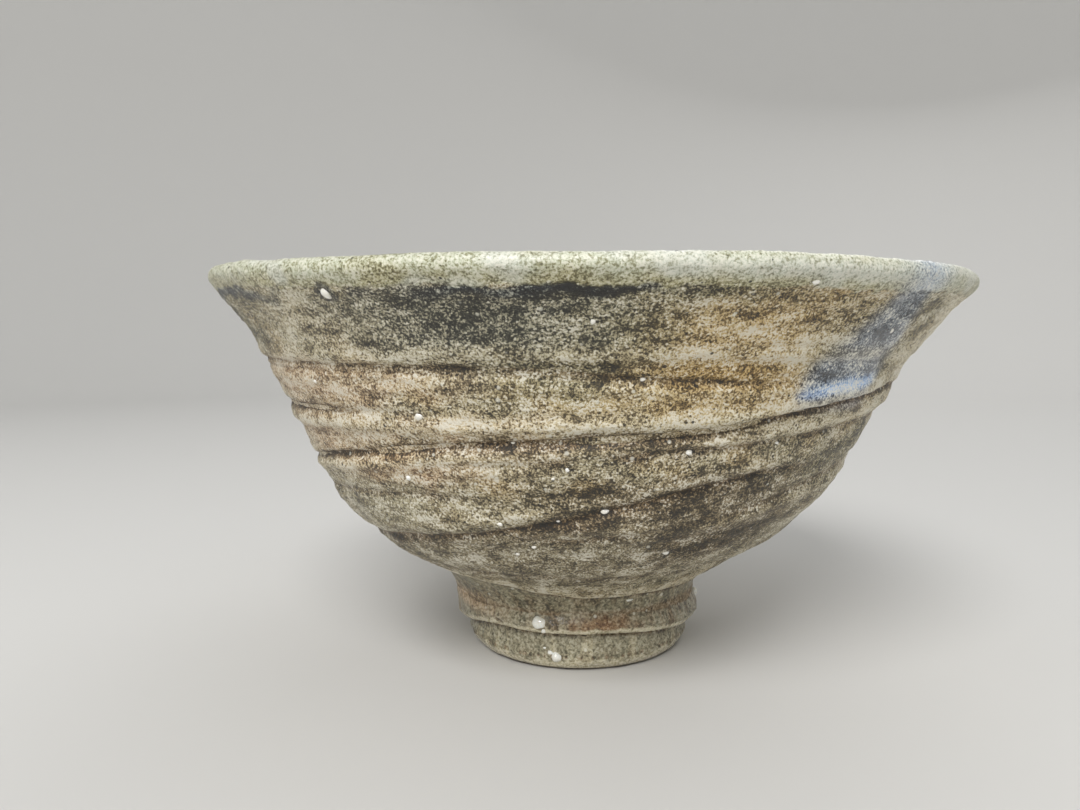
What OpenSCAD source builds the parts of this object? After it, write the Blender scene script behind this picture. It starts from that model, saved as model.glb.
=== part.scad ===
// Matcha bowl: a wheel-thrown stoneware tea bowl with a flaring rim, on a foot
// ring trimmed in two steps. Speckled ash glaze coats the outside, a second
// coat lines the inside, a thicker glossy one covers the lip, and one blue run
// has flowed down the flare.
//
// The bowl stands at z = 0 with its axis on Z. Its front faces -Y, and an
// azimuth is counted from there towards +X.

/* [Bowl] */
// Diameter over the glazed lip
rim_d = 148; // [120:1:180]
// Height from the table to the top of the glazed lip
bowl_h = 75; // [62:0.5:92]
// Drop from the top of the lip to the kink where the flank turns out
flare_drop = 14; // [9:0.5:18]
// Lean of the flare from upright, in degrees
flare_lean = 43; // [30:1:48]
// Lean of the flank from upright, in degrees
flank_lean = 27; // [16:1:32]
// Height of the shoulder where the belly turns up into the flank
shoulder_z = 36; // [30:0.5:44]
// How far the belly's curve pulls down below the shoulder
belly_pull = 8.4; // [4:0.2:13]

/* [Wall] */
// Thickness of the wall at the flank
wall_t = 4.2; // [3.5:0.1:7]
// Thickness of the clay at the lip
lip_t = 3.4; // [2.4:0.1:5]
// Thickness of the floor over the foot's recess
floor_t = 7; // [5:0.5:10]
// Height of the throwing rings on the outside
ring_h = 0.3; // [0:0.05:0.6]
// Distance from one throwing ring to the next
ring_pitch = 8; // [5:0.5:12]

/* [Foot] */
// Widest diameter of the foot's upper step
foot_d = 51; // [42:0.5:62]
// Height of the foot ring
foot_h = 12.5; // [9:0.5:16]
// Height of the line between the two steps
step_z = 6.2; // [4:0.1:8]
// How far the lower step stands in from the upper one
step_in = 2.3; // [1:0.1:4]
// Depth of the line between the steps
step_cut = 0.6; // [0.2:0.1:1.5]
// How far the neck under the bowl is cut in from the upper step
neck_cut = 1.1; // [0.5:0.1:2.5]
// How far the trimmed ledge, where the belly ends, hangs out over the neck
ledge_out = 2.1; // [1:0.1:4]
// Height of that ledge over the top of the foot
ledge_rise = 2.9; // [2:0.1:5]
// Thickness of the foot ring at the table
foot_wall = 5.2; // [4.8:0.1:8]
// How much the recess narrows from the table to its ceiling, on each side
recess_lean = 1.5; // [0:0.1:3]
// Rounding of the foot's outer edge
edge_r = 2.4; // [1:0.1:3]
// Rounding of the foot's inner edge
inner_edge_r = 1.2; // [0.5:0.1:1.6]
// Height of the low peak left by trimming on the recess's ceiling
peak_h = 1.2; // [0.4:0.1:2]

/* [Glaze] */
// Thickness of the ash glaze outside
outer_t = 0.7; // [0.4:0.1:1.2]
// Thickness of the glaze inside
inner_t = 0.7; // [0.4:0.1:1.2]
// Thickness of the glaze over the lip
rim_t = 1; // [0.6:0.1:1.6]
// How far the lip's glaze reaches down the flare, below the rounding of the lip
rim_reach = 0.7; // [0.3:0.1:4]
// How far it reaches down inside
rim_reach_in = 2.5; // [1:0.1:6]
// Depth of the glass pooled in the well
pool_depth = 1; // [0.6:0.1:2]

/* [Blue run] */
// Azimuth of the run's middle
run_azimuth = 41; // [0:1:90]
// Width of the run where it starts under the lip band
run_top_w = 8; // [5:0.5:12]
// Width of the run at its pool
run_low_w = 18; // [12:0.5:22]
// Drop from the top of the lip to the run's lower end
run_drop = 22; // [16:0.5:26]
// Thickness of the run at its pool
run_t = 0.6; // [0.3:0.1:1]

/* [Hidden] */
$fn = 192;

// Points between breaks of the outline
edge_n = 6;
inner_edge_n = 4;
foot_n = 8;
belly_n = 12;
flank_n = 12;
flare_n = 4;
reach_n = 2;
lip_n = 10;
well_n = 12;
run_n = 12;
ball_sides = 24;

// The stones on the front: azimuth, height as a share of the ash glaze's, diameter
front_stones = [[-31, 1, 1.8], [25, 1, 1.3], [-24, 0.68, 1.3], [17, 0.59, 1.2],
                [5, 0.4, 1.3], [-30, 0.49, 1.1], [-10, 0.61, 1.1], [20, 0.25, 1.4]];
// The stones round the rest of the bowl are spread by the golden angle
back_stones = 10;
golden = 137.5;
back_from = 70;
back_sweep = 220;
// The share of the glaze's height where they start and how much of it they cover
back_low = 0.2;
back_high = 0.7;
// Their sizes: the smallest diameter, the step to the next and how many sizes there are
back_d = 1.2;
back_step = 0.2;
back_sizes = 3;
// Clear glaze between the highest stones' middles and the lip's band
stone_gap = 1.5;

// The glaze drops on the foot: azimuth, height as a share of the foot's, diameter
drops = [[-14, 0.76, 2.4], [-8, 0.25, 2], [24, 0.84, 1.8], [88, 0.7, 2], [160, 0.3, 2.2],
         [-120, 0.8, 1.8]];

// Share of the upper step's height by which its pulls stand in from its ends
swell_share = 0.2;
// How strongly the well's curve holds to the wall, as a share of its height
well_pull = 0.7;
// Share of the recess's radius that the trimming peak covers
peak_share = 0.6;
// The run's thickness under the lip, as a share of that at its pool
run_thin = 0.4;
// Spare angle each side of the run, and its spare length below
run_spare = 4;

// Corners of the clay's outline, as [radius, height]
lip_r = lip_t / 2;
lip_mid = [rim_d / 2 - rim_t - lip_r, bowl_h - rim_t - lip_r];
lip_out = lip_mid + lip_r * [cos(flare_lean), -sin(flare_lean)];
lip_in = lip_mid - lip_r * [cos(flare_lean), -sin(flare_lean)];
kink_z = bowl_h - flare_drop;
kink = [lip_out[0] - (lip_out[1] - kink_z) * tan(flare_lean), kink_z];
shoulder = [kink[0] - (kink_z - shoulder_z) * tan(flank_lean), shoulder_z];
neck = [foot_d / 2 - neck_cut, foot_h];
ledge = [neck[0] + ledge_out - outer_t, foot_h + ledge_rise];
base = foot_d / 2 - step_in;
recess = base - foot_wall;
recess_top = [recess - recess_lean, foot_h];

// Inside, the wall's own thickness lies square to the flank
into_flank = [-cos(flank_lean), sin(flank_lean)];
into_flare = [-cos(flare_lean), sin(flare_lean)];
kink_in = kink + wall_t * (into_flank + into_flare) / norm(into_flank + into_flare);
shoulder_in = shoulder + wall_t * into_flank;
well = [0, foot_h + floor_t];
well_side = shoulder_in - (shoulder_in[1] - well[1]) * well_pull * [tan(flank_lean), 1];
band_out = along(lip_out, kink, rim_reach);
band_in = along(lip_in, kink_in, rim_reach_in);

// A point on the way from p to q that lies drop lower than p
function along(p, q, drop) = p + (q - p) * drop / (p[1] - q[1]);

// n points from p towards q, without q
function line(p, q, n) = [for (i = [0:n - 1]) p + (q - p) * i / n];

// n points of the curve from p to q pulled towards c, without q
function bend(p, c, q, n) =
    [for (i = [0:n - 1]) let (t = i / n) (1 - t) ^ 2 * p + 2 * t * (1 - t) * c + t ^ 2 * q];

// n points of the curve from p to q pulled towards c and then d, without q
function sweep(p, c, d, q, n) =
    [for (i = [0:n - 1]) let (t = i / n)
        (1 - t) ^ 3 * p + 3 * t * (1 - t) ^ 2 * c + 3 * t ^ 2 * (1 - t) * d + t ^ 3 * q];

// Points of an arc round c from angle a to angle b, in n steps
function arc(c, r, a, b, n) =
    [for (i = [0:n]) let (w = a + (b - a) * i / n) c + r * [cos(w), sin(w)]];

// Throwing rings: the radius swells and shrinks with the height
function thrown(pts) =
    [for (p = pts) [p[0] + ring_h * cos(360 * p[1] / ring_pitch), p[1]]];

// The clay's skin from the ledge up outside, over the lip and down to the well
belly_turn = shoulder - belly_pull * [tan(flank_lean), 1];
outside = concat(
    [ledge],
    thrown([for (i = [1:belly_n - 1]) bend(ledge, belly_turn, shoulder, belly_n)[i]]),
    thrown(line(shoulder, kink, flank_n)),
    line(kink, band_out, flare_n));
over_lip = concat(
    line(band_out, lip_out, reach_n),
    arc(lip_mid, lip_r, -flare_lean, 180 - flare_lean, lip_n),
    [band_in]);
inside = concat(
    [for (i = [1:flare_n - 1]) line(band_in, kink_in, flare_n)[i]],
    line(kink_in, shoulder_in, flank_n / 2),
    sweep(shoulder_in, well_side, [neck[0], well[1]], well, well_n),
    [well]);
skin = concat(outside, over_lip, inside);
last = len(skin) - 1;
band_start = len(outside);
band_end = len(outside) + len(over_lip) - 1;

// The skin moved outwards by t at point i, square to its neighbours
function off(i, t) =
    let (way = skin[min(i + 1, last)] - skin[max(i - 1, 0)], n = [way[1], -way[0]] / norm(way))
    i == last ? skin[i] + [0, t] : skin[i] + t * n;

// A closed coat of thickness t on the skin from point a to point b
function coat(a, b, t) =
    concat([for (i = [a:b]) skin[i]], [for (i = [b:-1:a]) off(i, t)]);

// The foot ring's outside, from the table up to the neck. The upper step's curve is pulled
// out to swell: a sweep's middle is 1/8 of each end and 3/8 of each pull, and lies at foot_d
waist = [base - step_cut, step_z];
swell = (foot_d / 2 - (waist[0] + neck[0]) / 8) / (3 / 4);
swell_rise = (foot_h - step_z) * swell_share;
foot_side = concat(
    arc([base - edge_r, edge_r], edge_r, -90, 0, edge_n),
    sweep(waist, [swell, waist[1] + swell_rise], [swell, neck[1] - swell_rise], neck, foot_n),
    [neck]);
foot_outline = concat(
    foot_side,
    [recess_top],
    arc([recess + inner_edge_r, inner_edge_r], inner_edge_r, 180, 270, inner_edge_n));

// Radius of the outer glaze's mid-depth at height z, and of the foot's side
glaze_side = [for (i = [0:band_start]) let (p = off(i, outer_t / 2)) [p[1], p[0]]];
foot_side_at = [for (p = foot_side) [p[1], p[0]]];

// A ball of diameter d with its middle on a side's curve, at an azimuth and a height. Its poles
// point in and out of the wall, well away from the line where the wall cuts it
module ball_on(side, azimuth, z, d) {
    rotate([0, 0, azimuth - 90]) translate([lookup(z, side), 0, z])
        rotate([0, 90, 0]) sphere(d = d, $fn = ball_sides);
}

// A stone at a share of the way from the ledge up to the lip's band
module stone(azimuth, share, d) {
    ball_on(glaze_side, azimuth, ledge[1] + share * (band_out[1] - stone_gap - ledge[1]), d);
}

module stones() {
    for (s = front_stones) stone(s[0], s[1], s[2]);
    for (i = [1:back_stones])
        stone(back_from + (golden * i) % back_sweep, back_low + back_high * i / back_stones,
              back_d + back_step * (i % back_sizes));
}

// The bowl's clay: the skin closed by the flat that sits on the foot
module clay_wall() {
    color("tan")
        rotate_extrude()
            polygon(concat([[0, foot_h - peak_h], [recess_top[0] * peak_share, foot_h], neck], skin));
}

module foot_ring() {
    color("peru") rotate_extrude() polygon(foot_outline);
}

module outer_glaze() {
    color("darkkhaki")
        difference() {
            rotate_extrude() polygon(coat(0, band_start, outer_t));
            stones();
        }
}

module rim_glaze() {
    color("beige") rotate_extrude() polygon(coat(band_start, band_end, rim_t));
}

module inner_glaze() {
    color("lightgoldenrodyellow") rotate_extrude() polygon(coat(band_end, last, inner_t));
}

// Glass that fills the well level up to pool_depth
module well_pool() {
    top_z = well[1] + inner_t + pool_depth;
    bed = [for (i = [band_end:last]) if (off(i, inner_t)[1] < top_z) off(i, inner_t)];
    before = off(last - len(bed), inner_t);
    edge = along(before, bed[0], before[1] - top_z);
    color("darkseagreen") rotate_extrude() polygon(concat([[0, top_z], edge], bed));
}

// The run's outline seen square on: narrow under the lip, round at its pool
module run_outline() {
    low = bowl_h - run_drop + run_low_w / 2;
    polygon(concat([[run_top_w / 2, bowl_h]],
                   arc([0, low], run_low_w / 2, 0, -180, run_n),
                   [[-run_top_w / 2, bowl_h]]));
}

module blue_run() {
    start = len([for (i = [0:band_start]) if (skin[i][1] < bowl_h - run_drop - run_spare) i]);
    rise = band_start - start;
    thick = [for (i = [start:band_start]) run_t * (1 - (1 - run_thin) * (i - start) / rise)];
    half = asin(run_low_w / 2 / skin[start][0]) + run_spare;
    color("lightsteelblue")
        difference() {
            intersection() {
                rotate([0, 0, run_azimuth - 90 - half])
                    rotate_extrude(angle = 2 * half)
                        polygon(concat(
                            [for (i = [start:band_start]) off(i, outer_t)],
                            [for (i = [band_start:-1:start]) off(i, outer_t + thick[i - start])]));
                rotate([0, 0, run_azimuth - 90]) rotate([90, 0, 90])
                    linear_extrude(rim_d) run_outline();
            }
            stones();
        }
}

// Stones sit on the clay, each in its own hole through the glaze, and stand proud of it
module feldspar_stones() {
    color("white")
        difference() {
            stones();
            rotate_extrude() polygon(concat([[0, ledge[1]]], [for (i = [0:band_start]) skin[i]],
                                            [[0, skin[band_start][1]]]));
        }
}

module foot_drops() {
    color("honeydew")
        difference() {
            for (d = drops) ball_on(foot_side_at, d[0], d[1] * foot_h, d[2]);
            rotate_extrude() polygon(concat([[0, 0]], foot_side, [[0, foot_h]]));
        }
}

clay_wall();
foot_ring();
outer_glaze();
rim_glaze();
inner_glaze();
well_pool();
blue_run();
feldspar_stones();
foot_drops();
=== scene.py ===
"""Matcha bowl: a thrown stoneware tea bowl, dressed round its CAD frame.

The bowl is one profile carried round the Z axis. The profile runs from the ledge over the foot
up the outside, over the lip and down to the middle of the well. Clay and glazes are closed
coats on it, each with its own depth. Finger ridges, trimming lines and colours are strokes and
clouds laid out by azimuth (degrees from the front, towards +X) and height.
"""

import logging
import math
from dataclasses import dataclass, field
from enum import Enum

import bpy
import numpy as np
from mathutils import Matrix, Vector


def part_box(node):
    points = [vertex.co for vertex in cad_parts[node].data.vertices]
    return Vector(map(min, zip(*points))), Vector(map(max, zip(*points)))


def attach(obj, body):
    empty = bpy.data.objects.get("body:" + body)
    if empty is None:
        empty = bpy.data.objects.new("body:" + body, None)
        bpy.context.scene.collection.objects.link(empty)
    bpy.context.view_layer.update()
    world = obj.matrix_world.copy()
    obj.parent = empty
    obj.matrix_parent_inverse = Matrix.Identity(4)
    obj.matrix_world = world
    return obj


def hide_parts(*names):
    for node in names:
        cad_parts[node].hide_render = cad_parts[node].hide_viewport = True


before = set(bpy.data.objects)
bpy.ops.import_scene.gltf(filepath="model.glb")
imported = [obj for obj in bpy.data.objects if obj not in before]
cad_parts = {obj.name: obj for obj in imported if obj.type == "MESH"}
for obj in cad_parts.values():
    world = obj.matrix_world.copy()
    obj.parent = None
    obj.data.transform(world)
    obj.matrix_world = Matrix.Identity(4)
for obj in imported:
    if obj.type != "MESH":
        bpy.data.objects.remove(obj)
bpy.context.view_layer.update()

LOG = logging.getLogger("matcha_bowl")
MM = 0.001
TURN = 360.0
BODY = "root"
# Numbers in a shade: two colours, the dark share, the roughness, the flecks and the pits
SHADE_WIDTH = 10

# ---------------------------------------------------------------- numbers and curves


def soft_step(low: float, high: float, x: np.ndarray) -> np.ndarray:
    """Returns a smooth rise from 0 at low to 1 at high: 3s^2 - 2s^3 of the share s between them.

    Args:
        low: Where the rise starts.
        high: Where it ends. It may lie below low, for a fall.
        x: Places to look at.

    Returns:
        The rise at each place.
    """
    s = np.clip((x - low) / (high - low), 0.0, 1.0)
    return s * s * (3.0 - 2.0 * s)


def flowing_line(stations: np.ndarray, count: int) -> np.ndarray:
    """Returns points of a Catmull-Rom curve through stations.

    Between two stations the curve is the cubic whose slope at each end is half the step from
    the station before to the one after.

    Args:
        stations: Points to pass through, one a row.
        count: Points on each stretch.

    Returns:
        Points of the curve, one a row, both ends included.
    """
    ends = np.vstack([2 * stations[0] - stations[1], stations, 2 * stations[-1] - stations[-2]])
    a, b, c, d = ends[:-3], ends[1:-2], ends[2:-1], ends[3:]
    s = (np.arange(count) / count)[None, :, None]
    a, b, c, d = (p[:, None, :] for p in (a, b, c, d))
    line = 0.5 * (2 * b + (c - a) * s + (2 * a - 5 * b + 4 * c - d) * s**2
                  + (3 * b - a - 3 * c + d) * s**3)
    return np.vstack([line.reshape(-1, stations.shape[1]), stations[-1]])


@dataclass(frozen=True)
class Mist:
    """A smooth random field on the bowl's wall: a sum of slanting waves that close on a turn.

    Attributes:
        size: Width of a typical patch, in millimetres.
        seed: Start of the random draws.
        waves: Number of waves.
    """

    size: float
    seed: int
    waves: int = 28

    def at(self, azimuth: np.ndarray, height: np.ndarray) -> np.ndarray:
        """Returns the field at places on the wall.

        Each wave is cos(n a + k h + p), with n whole, so that the field meets itself behind.

        Args:
            azimuth: Degrees from the front.
            height: Millimetres along the wall.

        Returns:
            Values with a spread of about 1 round 0.
        """
        draw = np.random.default_rng(self.seed)
        around = 2 * math.pi * 60.0 / self.size
        n = np.rint(draw.normal(0.0, around / 1.6, self.waves))
        k = draw.normal(0.0, 2 * math.pi / self.size / 1.6, self.waves)
        p = draw.uniform(0.0, 2 * math.pi, self.waves)
        a = np.radians(azimuth)
        total = np.zeros(np.broadcast(azimuth, height).shape)
        for wave in range(self.waves):
            total += np.cos(n[wave] * a + k[wave] * height + p[wave])
        return total * math.sqrt(2.0 / self.waves)


def grit(rows: int, columns: int, blur: float, seed: int) -> np.ndarray:
    """Returns random grit on a grid, blurred and closed round each row.

    White noise is blurred with a Gaussian by Fourier transform, then scaled to a spread of 1.

    Args:
        rows: Rows of the grid.
        columns: Columns of the grid, which close on themselves.
        blur: Width of the blur, in grid steps.
        seed: Start of the random draws.

    Returns:
        The grit, one value for each grid point.
    """
    noise = np.random.default_rng(seed).normal(size=(rows, columns))
    fy = np.fft.fftfreq(rows)[:, None]
    fx = np.fft.fftfreq(columns)[None, :]
    keep = np.exp(-2.0 * (math.pi * blur) ** 2 * (fx**2 + fy**2))
    made = np.fft.ifft2(np.fft.fft2(noise) * keep).real
    return made / made.std()


def wrapped(azimuth: np.ndarray) -> np.ndarray:
    """Returns azimuths brought between -180 and 180 degrees."""
    return (azimuth + TURN / 2) % TURN - TURN / 2


def outwards_at(azimuth: np.ndarray) -> np.ndarray:
    """Returns the level way outwards at each azimuth, one unit long."""
    a = np.radians(azimuth)
    return np.stack([np.sin(a), -np.cos(a), 0 * a], -1)


def compass(columns: int) -> np.ndarray:
    """Returns azimuths spread evenly round the bowl, from behind round by the front."""
    return np.arange(columns) * TURN / columns - TURN / 2


def around(places: tuple[tuple[float, float], ...], azimuth: np.ndarray) -> np.ndarray:
    """Returns a value that passes smoothly through places given round the bowl.

    Between two places it eases from one to the other by 3s^2 - 2s^3.

    Args:
        places: Azimuth and value of each place, in order, the azimuths from -180 to 180.
        azimuth: Azimuths to look at.

    Returns:
        The value at each azimuth.
    """
    way = np.array(places, float)
    way = np.vstack([way[-1] - (TURN, 0), way, way[0] + (TURN, 0)])
    turned = wrapped(azimuth)
    after = np.clip(np.searchsorted(way[:, 0], turned, side="right"), 1, len(way) - 1)
    low, high = way[after - 1], way[after]
    share = soft_step(0.0, 1.0, (turned - low[..., 0]) / (high[..., 0] - low[..., 0]))
    return low[..., 1] + (high[..., 1] - low[..., 1]) * share


# ---------------------------------------------------------------- the bowl's form


@dataclass(frozen=True)
class Stroke:
    """A ridge or groove that a finger or a trimming tool left on the turning bowl.

    Attributes:
        path: Azimuth and height in millimetres of a few places that it passes through.
        rise: How far it stands out, in millimetres. A groove's is negative.
        width: Half of its width, in millimetres.
        fade: Degrees over which it dies out at each end.
    """

    path: tuple[tuple[float, float], ...]
    rise: float
    width: float
    fade: float = 14.0

    def at(self, azimuth: np.ndarray, height: np.ndarray) -> np.ndarray:
        """Returns the stroke's share of the wall's relief, a Gaussian across its path.

        Args:
            azimuth: Degrees from the front, between -180 and 180.
            height: Millimetres above the table.

        Returns:
            Relief in millimetres.
        """
        way = np.array(self.path)
        middle = np.interp(azimuth, way[:, 0], way[:, 1])
        across = np.exp(-(((height - middle) / self.width) ** 2))
        start, end = way[0, 0], way[-1, 0]
        alive = soft_step(start - self.fade, start, azimuth) * soft_step(end + self.fade, end, azimuth)
        return self.rise * across * alive


STROKES = (
    # the kink under the flare, and the fine double line that a rib cut below it
    Stroke(((-180, 62.5), (-60, 61.6), (20, 61.8), (180, 61.2)), 0.34, 1.3, 1),
    Stroke(((-95, 60.4), (-69, 60.2), (-10, 59.5), (10, 58.0), (24, 57.2)), -0.42, 0.42),
    Stroke(((-95, 59.3), (-69, 59.1), (-10, 58.6), (14, 57.0)), -0.30, 0.36),
    Stroke(((-80, 57.4), (-20, 57.0), (30, 55.8)), 0.22, 1.1),
    # the deep short notch on the left, and the roll under it
    Stroke(((-110, 51.6), (-66, 52.0), (-44, 52.2)), -0.72, 0.75, 12),
    Stroke(((-110, 49.4), (-66, 49.4), (-20, 50.4), (20, 51.8), (44, 55.4)), 0.50, 1.15, 20),
    # the long groove that climbs to the right under the cream ridge
    Stroke(((-120, 39.5), (-65, 41.8), (-21, 47.3), (6, 49.0), (20, 50.0), (34, 52.4), (60, 55.6)),
           -0.80, 0.62, 22),
    Stroke(((-60, 40.6), (-20, 45.6), (30, 49.0), (60, 52.4), (110, 55.0)), 0.42, 1.0, 20),
    Stroke(((20, 47.2), (60, 49.8), (100, 52.0)), -0.32, 0.6, 16),
    # lines of the lower belly
    Stroke(((-90, 24.5), (-57, 27.2), (-24, 31.0), (-3, 35.0), (20, 40.6), (34, 43.0)), -0.46, 0.7, 20),
    Stroke(((-60, 29.8), (-24, 33.4), (-3, 37.4), (26, 43.6)), 0.28, 1.2, 20),
    Stroke(((0, 31.4), (30, 35.8), (62, 41.6), (100, 45.0)), -0.34, 0.7, 20),
    Stroke(((20, 33.6), (62, 38.8), (110, 42.0)), 0.32, 1.2, 20),
    Stroke(((-100, 35.0), (-60, 36.2), (-30, 38.6)), -0.30, 0.8, 20),
    Stroke(((-180, 25.2), (-40, 22.6), (60, 22.6), (180, 25.2)), -0.25, 0.8, 1),
    # lines round the back
    Stroke(((84, 57.5), (140, 59.0), (200, 60.4)), -0.45, 0.6, 18),
    Stroke(((90, 46.0), (130, 48.0), (180, 50.4)), -0.60, 0.7, 20),
    Stroke(((95, 48.2), (140, 50.4), (180, 52.0)), 0.40, 1.2, 20),
    Stroke(((-180, 44.0), (-150, 45.5), (-100, 49.0)), -0.55, 0.8, 20),
    Stroke(((-180, 55.6), (-140, 56.4), (-92, 58.4)), -0.40, 0.6, 18),
    Stroke(((-180, 32.0), (-130, 34.0), (-96, 37.0)), -0.40, 0.8, 18),
    Stroke(((110, 30.0), (150, 33.0), (180, 35.0)), -0.42, 0.8, 18),
)


# How far the lip stands over or under its level height round the bowl
RIM_RISE = ((-150, 0.4), (-110, 1.2), (-75, 1.5), (-62, 1.4), (-48, 1.0), (-38, 0.5), (-24, 0.3),
            (0, 0.0), (20, 0.3), (38, 0.2), (70, 0.0), (120, -0.3))
# Height of the ledge where the ash coat ends over the neck
LEDGE_LINE = ((-150, 18.6), (-90, 19.6), (-45, 19.2), (3, 16.2), (67, 15.5), (130, 16.6))
# Height of the line where the lip's glaze ends outside
BAND_LINE = ((-150, 71.2), (-95, 71.4), (-52, 71.3), (-30, 71.0), (-9, 70.8), (34, 70.6),
             (62, 71.2), (120, 70.6))
# Height of the line between the foot's two steps
STEP_LINE = ((-150, 6.2), (-82, 5.3), (-35, 8.1), (9, 8.1), (72, 6.1), (130, 5.8))
# Height and radius of the upper step's bulge, and radius of the neck over it
BULGE_Z = ((-150, 9.5), (-82, 10.8), (-35, 10.2), (9, 10.2), (72, 8.0), (130, 8.6))
BULGE_R = ((-150, 25.6), (-82, 26.0), (-35, 25.7), (9, 25.5), (72, 25.6), (130, 25.2))
NECK_R = ((-150, 24.8), (-82, 25.9), (-35, 25.0), (9, 24.5), (72, 24.1), (130, 24.0))
# How far the foot stands aside of the axis, in millimetres
FOOT_SHIFT = -0.55
# The stones: azimuth, height and width in millimetres
STONES = (
    (-31.0, 70.1, 1.6), (25.0, 71.2, 1.1), (-24.0, 52.2, 1.4), (17.0, 46.8, 1.2), (5.0, 37.0, 1.3),
    (-30.0, 41.6, 1.1), (-10.0, 48.0, 0.9), (20.0, 28.6, 1.3), (-1.6, 44.4, 0.9), (-3.8, 43.0, 0.8),
    (-13.5, 34.8, 0.9), (-7.7, 30.0, 0.9), (-11.5, 28.3, 0.7), (45.0, 65.0, 0.9), (1.0, 66.0, 0.8),
    (-3.0, 35.5, 0.8), (8.0, 58.0, 0.9), (33.0, 47.5, 0.8), (-44.0, 57.0, 0.8), (96.0, 62.0, 1.5),
    (126.0, 41.0, 1.3), (150.0, 68.0, 1.6), (178.0, 53.0, 1.2), (-160.0, 36.0, 1.3),
    (-138.0, 66.0, 1.4), (-112.0, 47.0, 1.4), (-88.0, 64.0, 1.2), (75.0, 36.0, 1.2),
    (108.0, 52.0, 0.9), (-100.0, 30.0, 1.0), (165.0, 31.0, 1.0))
# The foot's drops: azimuth, height and width, length as a share of the width, radius
DROPS = (
    (-16.4, 10.2, 3.0, 0.95, 24.9), (-14.4, 9.0, 1.5, 1.2, 24.9), (-9.6, 3.0, 2.6, 0.8, 22.7),
    (-12.6, 3.8, 1.3, 0.7, 22.8), (-15.4, 4.6, 1.0, 0.7, 22.8), (23.0, 14.6, 2.4, 0.45, 24.5),
    (88.0, 9.6, 2.0, 1.2, 24.9), (160.0, 4.0, 2.0, 1.3, 22.8), (-120.0, 11.2, 1.8, 1.1, 25.2))


def stroke_relief(azimuth: np.ndarray, height: np.ndarray) -> np.ndarray:
    """Returns the relief of all the strokes together, in millimetres.

    Args:
        azimuth: Degrees from the front.
        height: Millimetres above the table.

    Returns:
        Relief, positive on ridges.
    """
    turned = wrapped(azimuth)
    total = np.zeros(np.broadcast(azimuth, height).shape)
    for stroke in STROKES:
        total += stroke.at(turned, height)
    return total


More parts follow.
